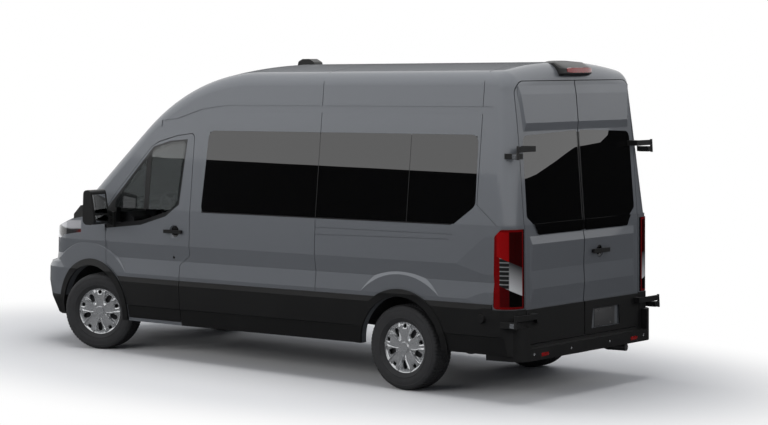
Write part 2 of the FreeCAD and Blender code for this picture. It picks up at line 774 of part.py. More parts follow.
def spun(points):
    """A closed profile of (radius, width) points turned about the wheel's axle."""
    spots = [V(r, w, 0) for r, w in points]
    face = Part.Face(Part.makePolygon(spots + [spots[0]]))
    return face.revolve(V(0, 0, 0), V(0, 1, 0), 360.0)


def make_tyre():
    half = TYRE_WIDTH / 2.0
    bead = RIM_R - BEAD_DEPTH
    points = [(bead, half - 34.0), (RIM_R + 20.0, half), (TYRE_R - 55.0, half), (TYRE_R, half - 32.0)]
    return spun(points + [(r, -w) for r, w in reversed(points)])


def make_rim():
    """Steel barrel, and the cover with five long and five short openings, a raised cap and its ring."""
    seat = RIM_R - BEAD_DEPTH - SEAT
    edge = TYRE_WIDTH / 2.0 - 34.0
    plate = edge - 4.0
    well = COVER_THICK
    barrel = spun([(seat - RIM_WALL, -edge), (seat, -edge), (seat, edge), (seat - RIM_WALL, edge)])
    cover = spun([(0.0, plate - well), (seat - 5.0, plate - well), (seat - 5.0, plate), (76.0, plate),
                  (76.0, plate + 10.0), (0.0, plate + 10.0)])
    hub = disc(58.0, V(0, HUB_FACE * -1.0, 0), V(0, 1, 0), plate + HUB_FACE - 2.0)
    under, over = plate - 30.0, plate + 20.0
    long_hole = prism_y([(112.0, -21.0), (112.0, 21.0), (186.0, 21.0), (186.0, -21.0)], under, over, 20.0)
    short_hole = prism_y([(172.0, -15.0), (172.0, 15.0), (192.0, 20.0), (192.0, -20.0)], under, over)
    cuts = []
    for k in range(5):
        for hole, first in ((long_hole, 54.0), (short_hole, 90.0)):
            piece = hole.copy()
            piece.rotate(V(0, 0, 0), V(0, 1, 0), -(first + 72.0 * k))
            cuts.append(piece)
    return fused([barrel, cover.cut(cuts), hub])


def placed_wheel(shape, x, y, turn_deg):
    """Left wheels show their outer face to +Y and right ones to -Y. The turn is the steering angle."""
    part = shape.copy()
    if y < 0:
        part.rotate(V(0, 0, 0), V(0, 0, 1), 180.0)
    part.translate(V(x, y, TYRE_R))
    if turn_deg:
        side = 1.0 if y > 0 else -1.0
        part.rotate(V(x, side * KINGPIN_Y, TYRE_R), V(0, 0, 1), turn_deg)
    return part


def make_knuckle(side):
    """Upright with its spindle and brake disc, drawn straight ahead on the left."""
    y = TRACK_FRONT / 2.0
    hub_y = y - HUB_FACE - SEAT
    low, high = TYRE_R - KNUCKLE_LOW, TYRE_R + KNUCKLE_HIGH
    upright = box(-45.0, 45.0, KINGPIN_Y - 40.0, KINGPIN_Y + 10.0, low + KNUCKLE_BOSS, high)
    boss = disc(BALL_R, V(0, KINGPIN_Y, low), V(0, 0, 1), KNUCKLE_BOSS + 10.0)
    spindle = disc(40.0, V(0, KINGPIN_Y + 5.0, TYRE_R), V(0, 1, 0), hub_y - KINGPIN_Y - 5.0)
    rotor = disc(150.0, V(0, KINGPIN_Y + 34.0, TYRE_R), V(0, 1, 0), 28.0)
    part = fused([upright, boss, spindle, rotor])
    if side < 0:
        part = mirrored(part)
    part.rotate(V(0, side * KINGPIN_Y, TYRE_R), V(0, 0, 1), STEER_REST_DEG)
    return part


# Running gear that stays with the body

def make_subframe():
    """Front cross-member with the lower arms under the knuckles, and the struts above. It stands level."""
    rail_low = FLOOR_Z - FLOOR_THICK - RAIL_DEEP
    beam_top = TYRE_R - 40.0
    parts = [box(-180.0, 180.0, -480.0, 480.0, TYRE_R - 110.0, beam_top)]
    struts = []
    for side in (1.0, -1.0):
        ball_y = side * KINGPIN_Y
        ball_top = TYRE_R - KNUCKLE_LOW - SEAT
        for x in (-150.0, 150.0):
            parts.append(bar(20.0, V(x, side * 440.0, TYRE_R - 75.0), V(0, ball_y, ball_top - 32.0)))
        parts.append(disc(BALL_R, V(0, ball_y, ball_top - 50.0), V(0, 0, 1), 50.0))
        rail_y = side * RAIL_Y
        parts.append(box(-160.0, 160.0, rail_y - 30.0, rail_y + 30.0, beam_top - 20.0, rail_low + 40.0))
        strut_y = side * (KINGPIN_Y - STRUT_IN)
        foot = TYRE_R + KNUCKLE_HIGH + SEAT
        head = TYRE_R + math.sqrt(LINER_R ** 2 - STRUT_R ** 2) - SEAT
        rod = disc(STRUT_R, V(0, strut_y, foot), V(0, 0, 1), head - foot)
        spring = disc(2 * STRUT_R, V(0, strut_y, 2 * TYRE_R + 10.0), V(0, 0, 1), 75.0)
        struts.append(fused([rod, spring]))
    for y in (-200.0, 200.0):
        parts.append(box(-30.0, 150.0, y - 30.0, y + 30.0, beam_top - 20.0, ENGINE_LOW - 15.0))
    frame = fused(parts)
    rails = []
    for y in (RAIL_Y, -RAIL_Y):
        rails.append(box(-700.0, 800.0, y - 41.0, y + 41.0, rail_low - SEAT, rail_low + 200.0))
    return together([frame.cut([raked(r) for r in rails])] + struts)


def make_engine():
    return box(-40.0, 620.0, -260.0, 260.0, ENGINE_LOW, 1000.0)


def make_driveline():
    """Gearbox behind the engine and the shaft to the rear axle."""
    start = V(-700.0, 0, 450.0)
    hub = V(REAR_X, 0, REAR_Z)
    way = (start - hub).normalize()
    gearbox = bar(105.0, V(-40.0 - SEAT, 0, 480.0), start)
    gearbox = gearbox.common(behind(-40.0 - SEAT))
    shaft = bar(38.0, start, hub + way * (AXLE_CASE_R + SEAT))
    return fused([gearbox, shaft])


def axle_case():
    """The differential's case, a barrel with coned ends about the axle."""
    r = AXLE_CASE_R
    profile = [(0.0, -r), (60.0, -r), (r, -60.0), (r, 60.0), (60.0, r), (0.0, r)]
    case = face_of(profile, 0.0, lambda p: V(p[0], p[1], 0)).revolve(V(0, 0, 0), V(0, 1, 0), 360.0)
    case.translate(V(REAR_X, 0, REAR_Z))
    return case


def make_rear_axle():
    half = TRACK_REAR / 2.0 - HUB_FACE - SEAT
    rail_low = FLOOR_Z - FLOOR_THICK - RAIL_DEEP
    parts = [disc(48.0, V(REAR_X, -half, REAR_Z), V(0, 1, 0), 2 * half), axle_case()]
    for side in (1.0, -1.0):
        parts.append(disc(150.0, V(REAR_X, side * (half - 60.0) - 14.0, REAR_Z), V(0, 1, 0), 28.0))
        y = side * RAIL_Y
        top = rail_low - SEAT
        rise = [(LEAF_HALF, rail_low - 50.0), (LEAF_HALF, top), (LEAF_HALF - 60.0, top),
                (LEAF_HALF - 100.0, rail_low - 70.0)]
        under = [(LEAF_HALF - 90.0, rail_low - 110.0)]
        leaf = [(REAR_X + dx, z) for dx, z in under + rise] + [(REAR_X, REAR_Z + 80.0)]
        leaf += [(REAR_X - dx, z) for dx, z in reversed(under + rise)] + [(REAR_X, REAR_Z + 40.0)]
        parts.append(prism_y(leaf, y - 35.0, y + 35.0))
    return fused(parts)


def make_fuel_tank():
    top = FLOOR_Z - FLOOR_THICK - RAIL_DEEP - SEAT
    return prism_y([(-1500.0, 300.0), (-1500.0, top), (-2500.0, top), (-2500.0, 300.0)], 120.0, 620.0, 40.0)


def make_exhaust():
    """Pipe, silencer and tail pipe on the right, with the hangers that hold them to the floor."""
    low = FLOOR_Z - FLOOR_THICK
    bend = V(-4480.0, -320.0, 430.0)
    drop = V(-4720.0, -600.0, 215.0)
    pipe = [bar(32.0, V(-700.0, -320.0, 430.0), V(-2000.0, -320.0, 430.0)),
            bar(105.0, V(-1990.0, -320.0, 400.0), V(-2600.0, -320.0, 400.0)),
            bar(32.0, V(-2590.0, -320.0, 430.0), bend), bar(32.0, bend, drop),
            bar(32.0, drop, V(-4900.0, -620.0, 215.0))]
    hangers = []
    for x in (-1000.0, -2300.0, -3000.0):
        hangers.append(box(x - 15.0, x + 15.0, -323.0, -317.0, 430.0, low - SEAT))
    return fused(pipe + hangers)


# Cabin

def raked(shape):
    """Tips a body-frame shape by the rake about the front axle's centre."""
    part = shape.copy()
    part.rotate(V(0, 0, TYRE_R), V(0, 1, 0), RAKE_DEG)
    return part


def make_seat(x, y, width):
    right, left = y - width / 2.0, y + width / 2.0
    cushion = [(-260.0, 330.0), (260.0, 360.0), (260.0, 480.0), (-260.0, 450.0)]
    back = [(-250.0, 435.0), (-130.0, 435.0), (-270.0, 1130.0), (-370.0, 1110.0)]
    padded = []
    for outline, radii in ((cushion, [0, 0, 40.0, 0]), (back, [0, 0, 25.0, 40.0])):
        padded.append(prism_y([(x + dx, FLOOR_Z + dz) for dx, dz in outline], right, left, radii))
    base = box(x - 200.0, x + 200.0, right + 60.0, left - 60.0, FLOOR_Z + SEAT, FLOOR_Z + 360.0)
    return fused(padded + [base])


def make_floor():
    """Load floor with its long rails and cross-members, and the four wheelhouses that stand in it."""
    low = FLOOR_Z - FLOOR_THICK
    core = side_lower(-WALL - SEAT, SILL_Z - 50.0).common(rear_plan(WALL + SEAT))
    nose_core = nose_inner_stack(WALL + SEAT).common(ahead(NOSE_CUT_X))
    parts = [box(REAR_FACE_X, FIREWALL_X, -FAR, FAR, low, FLOOR_Z).common(core)]
    for side in (1.0, -1.0):
        parts.append(box(-4700.0, 760.0, side * RAIL_Y - 40.0, side * RAIL_Y + 40.0, low - RAIL_DEEP, low))
    for x in (-1300.0, -2700.0, -4650.0):
        parts.append(box(x - 40.0, x + 40.0, -RAIL_Y, RAIL_Y, low - 60.0, low))
    houses = []
    clear = []
    for x, z in ((0.0, TYRE_R), (REAR_X, REAR_Z)):
        outer_r = LINER_R + LINER_WALL
        clear += both_sides(arch_cut(x, z, outer_r + SEAT, LINER_IN - LINER_WALL - SEAT)).Solids
        house = arch_cut(x, z, outer_r, LINER_IN - LINER_WALL).cut(arch_cut(x, z, LINER_R, LINER_IN))
        house = house.common(box(-2 * FAR, 470.0, 0.0, FAR, 480.0, FAR))
        pieces = [house.common(core).common(behind(NOSE_CUT_X))]
        if x > NOSE_CUT_X:
            pieces.append(house.common(nose_core))
        houses += both_sides(biggest(fused(pieces))).Solids
    return fused(parts).cut(clear), together(houses)


def tow_bar_holes():
    """Level bolt holes through both rails near the back."""
    holes = []
    for step in (-0.5, 0.5):
        x = TOW_BAR_X + step * TOW_SPACING
        holes.append(disc(TOW_HOLE_R, V(x, -RAIL_Y - 80.0, TOW_BAR_Z), V(0, 1, 0), 2 * RAIL_Y + 160.0))
    return holes


def make_seats(places, width):
    return together([make_seat(x, y, width) for x, y in places])


def make_dash():
    wall = box(FIREWALL_X, FIREWALL_X + 12.0, -FAR, FAR, FLOOR_Z - FLOOR_THICK, 1200.0)
    wall = wall.common(hood_top(HOOD_WALL + SEAT)).common(nose_inner_stack(WALL + SEAT))
    side = COWL_HALF - 10.0
    house = []
    for s in (1.0, -1.0):
        low = LINER_IN - LINER_WALL - SEAT if s > 0 else -FAR
        high = FAR if s > 0 else -LINER_IN + LINER_WALL + SEAT
        house.append(arch_cut(0.0, TYRE_R, LINER_R + LINER_WALL + SEAT, low, high))
    wall = wall.cut(house)
    back = FIREWALL_X - SEAT
    outline = [(back, 900.0), (back, 1290.0), (-330.0, 1290.0), (-420.0, 1240.0), (-430.0, 1000.0),
               (-300.0, 900.0)]
    desk = prism_y(outline, -side, side, [0, 0, 30.0, 40.0, 60.0, 60.0])
    return wall, desk


def steering_axis():
    lean = math.radians(STEERING_COLUMN_DEG)
    centre = V(STEERING_X, STEERING_Y, STEERING_Z)
    return centre, V(-math.cos(lean), 0, math.sin(lean))


def ring(radius, thick, sides):
    """A ring about Z with a section of few sides."""
    turns = [2.0 * math.pi * (k + 0.5) / sides for k in range(sides)]
    spots = [V(radius + thick * math.cos(a), 0, thick * math.sin(a)) for a in turns]
    return Part.Face(Part.makePolygon(spots + [spots[0]])).revolve(V(0, 0, 0), V(0, 0, 1), 360.0)


def make_steering():
    """Wheel with four spokes and its boss, on the shaft's end."""
    centre, axis = steering_axis()
    rim = ring(190.0, 15.0, 6)
    boss = disc(48.0, V(0, 0, -45.0), V(0, 0, 1), 55.0)
    spokes = []
    for turn in (0.0, 90.0, 180.0, 270.0):
        spoke = box(30.0, 186.0, -14.0, 14.0, -14.0, -2.0)
        spoke.rotate(V(0, 0, 0), V(0, 0, 1), turn + 20.0)
        spokes.append(spoke)
    wheel = fused([rim, boss] + spokes)
    place = FreeCAD.Placement(centre, FreeCAD.Rotation(V(0, 0, 1), axis))
    wheel.Placement = place
    column = bar(26.0, centre - axis * (45.0 + SEAT), centre - axis * 330.0)
    return wheel, column


def make_mirror():
    """Tall housing on two arms and a foot that stands on the door's front corner, left side."""
    front, back = MIRROR_FRONT_X, MIRROR_BACK_X
    housing = prism_y([(front, 1190.0), (front - 20.0, 1500.0), (back + 55.0, 1515.0), (back, 1190.0)],
                      1060.0, 1255.0, [50.0, 40.0, 40.0, 50.0])
    arms = [prism_x([(940.0, z), (940.0, z + 45.0), (1090.0, z + 85.0), (1090.0, z + 40.0)],
                    DOOR_HINGE_X - 100.0, DOOR_HINGE_X - 40.0, 12.0) for z in (1165.0, 1240.0)]
    foot = prism_x([(900.0, 1155.0), (900.0, 1300.0), (1000.0, 1300.0), (1000.0, 1155.0)],
                   DOOR_HINGE_X - 130.0, DOOR_HINGE_X - 25.0, 8.0)
    return fused([housing, foot] + arms)


def make_handle(x, y, z, length):
    """A pull handle standing off the panel, with its two feet."""
    half = 0.5 * length
    grip = prism_z([(x - half, y + 26.0), (x - half, y + 42.0), (x + half, y + 42.0), (x + half, y + 26.0)],
                   z - 16.0, z + 16.0, 7.0)
    reach = half - 24.0
    feet = [box(at - 16.0, at + 16.0, y, y + 30.0, z - 12.0, z + 12.0) for at in (x + reach, x - reach)]
    return fused([grip] + feet)


def make_rear_bumper():
    """Beam under the doors whose ends rise round the corners."""
    back = -(WHEELBASE + REAR_OVERHANG)
    front = REAR_FACE_X + 260.0
    step = REAR_FACE_X + 60.0
    points = [(back, -960.0), (back, 960.0), (front, 1000.0), (front, 940.0), (step, 900.0), (step, -900.0),
              (front, -940.0), (front, -1000.0)]
    corners = [130.0, 130.0, 0, 0, 60.0, 60.0, 0, 0]
    beam = prism_z(points, BUMPER_LOW, BUMPER_HIGH, corners)
    tower = prism_z(points, BUMPER_HIGH - 10.0, WING_TOP, corners)
    outline = [(WING_Y, BUMPER_HIGH - 10.0), (WING_Y, WING_TOP), (FAR, WING_TOP), (FAR, BUMPER_HIGH - 10.0)]
    wing = tower.common(prism_x(outline, -2 * FAR, 0.0))
    return fused([beam, wing, mirrored(wing)])


# Assembly

def rear_axis():
    """A point of the left rear door's slanted hinge axis, at the belt, and the axis's upward direction."""
    lean = math.tan(math.radians(REAR_HINGE_LEAN_DEG))
    splay = math.tan(math.radians(REAR_HINGE_SPLAY_DEG))
    return V(REAR_HINGE_X, REAR_HINGE_Y, BELT_Z), V(lean, -splay, 1.0).normalize()


def rear_hinge_piece(z, on_door):
    """One of the outside hinges on the left: a barrel on the slanted axis and the arm that carries it."""
    point, way = rear_axis()
    foot = point + way * ((z - BELT_Z) / way.z)
    if on_door:
        barrel = disc(REAR_BARREL_R, foot + way * SEAT, way, 55.0)
        near = REAR_DOOR_HALF - 90.0
        arm = box(foot.x - 7.0, foot.x + 7.0, near, foot.y, z + 5.0, z + 50.0)
        web = box(foot.x, REAR_FACE_X + 200.0, near, near + 60.0, z + 5.0, z + 50.0)
        return fused([barrel, arm, web])
    barrel = disc(REAR_BARREL_R, foot - way * 55.0, way, 55.0)
    leaf = box(foot.x - 6.0, REAR_FACE_X + 90.0, foot.y - 60.0, foot.y, z - 50.0, z - 5.0)
    return fused([barrel, leaf])


def hood_lug(y, on_hood):
    """One half of a hood hinge: the arm under the hood, or the post beside it under the cowl."""
    x, z, r = HOOD_HINGE_X, HOOD_HINGE_Z, HOOD_BARREL_R
    if on_hood:
        barrel = disc(r, V(x, y - HOOD_LUG, z), V(0, 1, 0), 2 * HOOD_LUG)
        tip = HOOD_REAR_X + 50.0
        arm = prism_y([(x, z - 8.0), (x, z + 6.0), (tip, z), (tip, z - 20.0)], y - 6.0, y + 6.0)
        return fused([barrel, arm])
    near, far = y + HOOD_LUG + SEAT, y + HOOD_LUG + 22.0
    barrel = disc(r, V(x, near, z), V(0, 1, 0), far - near)
    return fused([barrel, box(x - r, x + r, near, far, z, z + 60.0)])


def build_shells(parts):
    outer = upper_outer()
    shell_up = outer.cut(upper_inner(WALL, ROOF_WALL, WALL))
    skin = outer.cut(upper_inner(GLASS, GLASS, GLASS))
    shell_low = lower_outer().cut(lower_inner()).common(behind(NOSE_CUT_X))
    shell = shell_up.fuse(shell_low).removeSplitter()
    arches = [arch_cut(0.0, TYRE_R, ARCH_R, 300.0), arch_cut(REAR_X, REAR_Z, ARCH_R, 300.0)]
    screen = screen_opening(0.0)
    screen_hole = screen_opening(-GLASS_RIM)
    roof_zone = roof_line(0.0)
    lines = [skin.common(g) for g in upper_grooves()]
    roof_cuts = [rear_opening(0.0)] + lines + [mirrored(g) for g in lines]
    parts["roof"] = biggest(shell.common(roof_zone).cut(roof_cuts))
    parts["windscreen"] = skin.common(screen_opening(-SEAT))
    half = box(-2 * FAR, FAR, 0.0, FAR, -FAR, FAR)
    left = shell.common(half)
    below = left.cut([roof_zone, rear_opening(0.0), screen_hole, skin.common(screen), door_outline(0.0),
                      tail_lamp_zone(0.0)] + arches)
    below = biggest(biggest(below).cut(lines + lower_grooves()))
    panes = pane_outlines(GLASS_SEAM_1, GLASS_SEAM_1, 0.0)
    fitted = pane_outlines(GLASS_SEAM_1, GLASS_SEAM_1, SEAT)
    recess = [skin.common(p) for p in panes]
    parts["side_left"] = below.cut(recess + pane_holes(GLASS_SEAM_1, GLASS_SEAM_1))
    glass = [skin.common(p) for p in fitted]
    first_end = SLIDING_SEAM + SLIDING_POST
    second_start = SLIDING_SEAM - SLIDING_POST
    recess = [skin.common(p) for p in pane_outlines(first_end, second_start, 0.0)]
    right = below.cut(recess + pane_holes(first_end, second_start))
    parts["side_right"] = mirrored(right.cut(side_door_outline(0.0)))
    parts["sliding_door"] = mirrored(right.common(side_door_outline(SEAM)))
    glass += [mirrored(skin.common(p)) for p in pane_outlines(first_end, second_start, SEAT)]
    parts["side_glass"] = together(glass)
    build_front_doors(parts, left, skin.common(half))
    build_rear_doors(parts, left, skin.common(half))
    return outer


def tail_lamp_zone(fit):
    """Tail lamp outline seen from the side, as wide as from the rear door's frame outwards."""
    front, low, high = LAMP_FRONT_X - fit, LAMP_BOTTOM + fit, LAMP_TOP - fit
    behind_x = LAMP_FRONT_X - 300.0
    side = [(front, low), (front - 15.0, 1255.0), (LAMP_FRONT_X - 75.0, high), (behind_x, high),
            (behind_x, low)]
    return prism_y(side, REAR_DOOR_HALF + 18.0 + fit, FAR, [25.0, 30.0, 30.0, 0, 0])


def build_front_doors(parts, left, skin):
    door = left.common(door_outline(SEAM))
    door = door.cut([skin.common(door_window(0.0)), door_window(8.0 - GLASS_RIM)])
    low, high = DOOR_HINGES
    barrels = [door_barrel(z + DOOR_BARREL + SEAT, z + 2 * DOOR_BARREL) for z in (low, high)]
    pockets = [door_pivot_cut(z - 5.0, z + DOOR_BARREL + SEAT) for z in (low, high)]
    panel_y = BELT_HALF + 9.0
    cup_floor = V(HANDLE_X, panel_y - CUP_DEEP, HANDLE_Z)
    pockets.append(tapered(CUP_R - 15.0, CUP_R + 7.0, cup_floor, V(0, 1, 0), CUP_DEEP + 10.0))
    door = fused([biggest(door.cut(pockets))] + [hinge_root(b, -1.0) for b in barrels])
    divider_end = DIVIDER_X + DIVIDER_WIDTH
    divider = box(DIVIDER_X, divider_end, SIDE_IN, SIDE_OUT, SILL_Z, ROOF_Z)
    glazing = skin.common(door_window(-SEAT))
    pane = glazing.cut(box(DIVIDER_X - SEAT, divider_end + SEAT, SIDE_IN, SIDE_OUT, SILL_Z, ROOF_Z))
    cladding = skin_clad().common(door_outline(SEAM)).common(box(-FAR, FAR, 0.0, FAR, 0.0, CLAD_Z))
    handle = make_handle(HANDLE_X, panel_y - 11.0, HANDLE_Z, HANDLE_LENGTH).cut(side_lower(SEAT))
    trim = together([biggest(cladding), biggest(handle), biggest(glazing.common(divider))])
    mirror = biggest(make_mirror().cut(side_lower(SEAT)).cut(side_upper(SEAT)))
    group = {"front_door": door, "front_door_glass": pane, "front_door_trim": trim, "mirror": mirror}
    for key, shape in group.items():
        parts[key + "_left"] = shape
        parts[key + "_right"] = mirrored(shape)


def hinge_root(barrel, side):
    """The barrel with the short leaf that joins it to the panel behind it or ahead of it."""
    b = barrel.BoundBox
    x = DOOR_HINGE_X + side * 14.0
    near, far = sorted((x, DOOR_HINGE_X))
    leaf = box(near, far, DOOR_HINGE_Y - 20.0, DOOR_HINGE_Y - 2.0, b.ZMin, b.ZMax)
    return fused([barrel, leaf])


def skin_clad():
    return clad_body().cut(grown_lower(SEAT))


def door_swells():
    """Pressed forms of the rear doors: the bulge above the window, the step under it and the fold below."""
    lean = math.tan(math.radians(REAR_LEAN_DEG))
    high = [(2085.0, 0.0), (2150.0, 1.0), (2380.0, 0.7), (2450.0, 0.0)]
    low = [(690.0, 0.0), (820.0, 1.0), (965.0, 0.25), (1180.0, 1.0), (1245.0, 0.0)]
    swells = []
    for rows in (high, low):
        outer = [(REAR_FACE_X + max(0.0, z - BELT_Z) * lean - share * DOOR_SWELL, z) for z, share in rows]
        behind_x = outer[-1][0] + 20.0
        outline = outer + [(behind_x, rows[-1][0]), (behind_x, rows[0][0])]
        slab = prism_y(outline, -SWELL_HALF, SWELL_HALF)
        front = min(x for x, z in outer)
        half, shoulder = SWELL_HALF, front + 3.0 * DOOR_SWELL
        plan = [(front, 60.0 - half), (shoulder, -half), (behind_x, -half),
                (behind_x, half), (shoulder, half), (front, half - 60.0)]
        swells.append(slab.common(prism_z(plan, 0.0, ROOF_Z)))
    return swells


def plate_recess():
    """The recess for the number plate in the right door's cladding, with one slanted side."""
    outline = [(-PLATE_NEAR, PLATE_LOW), (-PLATE_NEAR - 25.0, PLATE_HIGH), (10.0 - PLATE_FAR, PLATE_HIGH),
               (-PLATE_FAR, PLATE_LOW)]
    return prism_x(outline, REAR_FACE_X - 60.0, REAR_FACE_X - CLAD + PLATE_DEEP, 8.0)


def rear_window(fit, start):
    """Outline of the left rear pane, smaller by fit on every edge."""
    half = REAR_GLASS_HALF - fit
    low = REAR_GLASS_BOTTOM + fit
    top = REAR_GLASS_TOP - fit
    points = [(start + fit, low), (start + fit, top + 10.0), (half, top - 20.0), (half + 10.0, low + 150.0),
              (half - 190.0, low)]
    return prism_x(points, REAR_FACE_X - 300.0, REAR_FACE_X + 500.0, [15.0, 20.0, 60.0, 40.0, 60.0])


def build_rear_doors(parts, left, skin):
    zone = rear_opening(SEAM).common(box(-2 * FAR, 0.0, 0.5 * MEETING_GAP, FAR, 0.0, FAR))
    inner_half = 0.5 * MEETING_GAP + 14.0
    recess = skin.common(rear_window(0.0, inner_half))
    door = left.fuse(door_swells()).common(zone)
    door = biggest(door.cut([recess, rear_window(GLASS_RIM, inner_half + 20.0)]))
    parts["rear_glass_left"] = skin.common(rear_window(SEAT, inner_half))
    parts["rear_glass_right"] = mirrored(parts["rear_glass_left"])
    clad = biggest(skin_clad().common(zone).common(box(-2 * FAR, 0.0, 0.0, FAR, 0.0, REAR_CLAD_TOP)))
    solid = left_filled().fuse(door)
    arms = [biggest(rear_hinge_piece(z, True).cut(solid).cut(clad)) for z in REAR_HINGE_Z]
    buffer_root = V(REAR_FACE_X - CLAD + 2.0, BUFFER_Y, BUFFER_Z)
    knob = tapered(28.0, 34.0, buffer_root, V(-1, 0, 0), BUFFER_LENGTH)
    parts["rear_door_left"] = door
    parts["rear_door_trim_left"] = together([fused([clad, knob])] + arms)
    cup = disc(CUP_R - 15.0, V(REAR_FACE_X - 50.0, -REAR_HANDLE_Y, REAR_HANDLE_Z), V(1, 0, 0), 55.0)
    door_right = mirrored(door).cut([cup, plate_recess()])
    parts["rear_door_right"] = biggest(door_right)
    handle = biggest(make_rear_handle().cut(mirrored(door)))
    clad_right = mirrored(clad).cut(plate_recess())
    parts["rear_door_trim_right"] = together([clad_right, handle] + [mirrored(t) for t in arms])


def left_filled():
    return grown_lower(SEAT).fuse(side_upper(SEAT).common(top_body(-SEAT, -SEAT, -SEAT)))


def make_rear_handle():
    """The right rear door's pull handle with its two feet."""
    half = 0.5 * REAR_HANDLE_LENGTH
    reach = half - 25.0
    y = -REAR_HANDLE_Y
    z = REAR_HANDLE_Z
    back, front = REAR_FACE_X - REAR_HANDLE_PROUD, REAR_FACE_X - REAR_HANDLE_PROUD + 16.0
    plan = [(back, y - half), (back, y + half), (front, y + half), (front, y - half)]
    grip = prism_z(plan, z - 18.0, z + 18.0, 7.0)
    feet = []
    for at in (y + reach, y - reach):
        feet.append(box(back + 10.0, REAR_FACE_X + 20.0, at - 18.0, at + 18.0, z - 14.0, z + 14.0))
    return fused([grip] + feet)


def build_nose(parts, outer):
    solid, shell = make_nose()
    arch = both_sides(arch_cut(0.0, TYRE_R, ARCH_R, 300.0))
    lamps = both_sides(lamp_front(0.0))
    cowl_zone = box(-400.0, HOOD_REAR_X, -COWL_HALF, COWL_HALF, 1080.0, 1700.0)
    bumper_zone = box(0.0, 1300.0, -FAR, FAR, 0.0, BUMPER_TOP_Z - 4.0)
    grille = grille_front(0.0)
    fenders = shell.cut([hood_plan(0.0), lamps, cowl_zone, bumper_zone, grille, arch, outer,
                         box(-FAR, 0.0, -FAR, FAR, 0.0, STEP_Z + 30.0)])
    low, high = DOOR_HINGES
    fender = biggest(fenders.common(box(-FAR, FAR, 20.0, FAR, -FAR, FAR)))
    pockets = [door_pivot_cut(z + DOOR_BARREL, z + 2 * DOOR_BARREL + 5.0) for z in (low, high)]
    barrels = [hinge_root(door_barrel(z, z + DOOR_BARREL), 1.0) for z in (low, high)]
    fender = fused([fender.cut(pockets)] + barrels)
    parts["fenders"] = both_sides(fender)
    lamp = biggest(shell.common(lamp_front(SEAT)).cut(hood_plan(-SEAM)))
    parts["headlamps"] = both_sides(lamp)
    hood = biggest(shell.common(hood_plan(SEAM)).cut([both_sides(lamp_front(-SEAM)), outer]))
    parts["hood"] = fused([hood] + [hood_lug(y, True) for y in (HOOD_HINGE_Y, -HOOD_HINGE_Y)])
    top = hood_top()
    cowl = top.common(box(COWL_REAR_X, COWL_FRONT_X, -COWL_HALF + SEAT, COWL_HALF - SEAT, 1080.0, 1700.0))
    cowl = cowl.cut([hood_top(HOOD_WALL), outer])
    notches = []
    for y in (HOOD_HINGE_Y, -HOOD_HINGE_Y):
        notches.append(box(HOOD_HINGE_X - 16.0, 500.0, y - 20.0, y + HOOD_LUG, 1200.0, 1400.0))
    cowl = biggest(cowl.cut(notches))
    cowl = fused([cowl] + [hood_lug(y, False).common(solid) for y in (HOOD_HINGE_Y, -HOOD_HINGE_Y)])
    cheek = side_lower().common(top_body()).common(box(NOSE_CUT_X, 600.0, COWL_HALF, FAR, 1080.0, BELT_Z))
    cheek = cheek.cut([top, outer])
    parts["cowl"] = together([cowl] + both_sides(biggest(cheek)).Solids)
    face = shell.common(bumper_zone).cut(arch)
    parts["front_bumper"] = biggest(face.common(box(0.0, FAR, -FAR, FAR, 480.0, FAR)))
    parts["front_skirt"] = biggest(face.common(box(0.0, FAR, -FAR, FAR, 0.0, 480.0)))
    mesh = shell.common(grille_front(SEAT)).common(box(0.0, FAR, -FAR, FAR, BUMPER_TOP_Z, FAR))
    slots = [box(700.0, 1200.0, -500.0, 500.0, z, z + 26.0) for z in (830.0, 872.0, 914.0, 956.0)]
    parts["grille"] = biggest(mesh.cut(slots))
    return solid


def build_cladding(parts, nose):
    """Arch edges, sills and quarters of the moulded cladding, with the hinge brackets cut in."""
    clad = skin_clad()
    flare_skin = grown_lower(FLARE).cut(grown_lower(SEAT))
    flare_skin = flare_skin.common(box(-2 * FAR, FAR, SIDE_IN, FAR, SILL_Z, 1000.0))
    rings = []
    for x, z in ((0.0, TYRE_R), (REAR_X, REAR_Z)):
        ring_zone = arch_cut(x, z, FLARE_R, 300.0).cut(arch_cut(x, z, ARCH_R, 200.0))
        rings.append(biggest(flare_skin.common(ring_zone).cut(nose)))
    behind_door = box(-2 * FAR, FLAP_X, 0.0, FAR, 0.0, CLAD_Z).cut(door_outline(0.0))
    corner = box(-2 * FAR, LAMP_FRONT_X + 15.0, 0.0, FAR, LAMP_BOTTOM - 8.0, FAR)
    rear_ring = arch_cut(REAR_X, REAR_Z, FLARE_R + SEAT, 200.0)
    side = clad.common(behind_door).cut([corner, rear_opening(0.0), rear_ring])
    brackets = [biggest(rear_hinge_piece(z, False).cut(left_filled())) for z in REAR_HINGE_Z]
    sills = [s.cut(brackets[0]) for s in only_large(side, 20000.0).Solids]
    magnet = tapered(40.0, 34.0, V(MAGNET_X, CLAD_HALF, MAGNET_Z), V(0, 1, 0), CLAD + 14.0)
    magnet = magnet.cut(grown_lower(SEAT))
    left = [fused([s, magnet]) if s.BoundBox.XMin < MAGNET_X else s for s in sills]
    parts["cladding_left"] = together(rings + left)
    right = [s.cut(side_door_outline(0.0)) for s in left]
    on_door = [s.common(side_door_outline(SEAM)) for s in left]
    parts["cladding_right"] = together([mirrored(s) for s in rings + right + on_door])
    parts["door_hinges"] = both_sides(together(brackets))


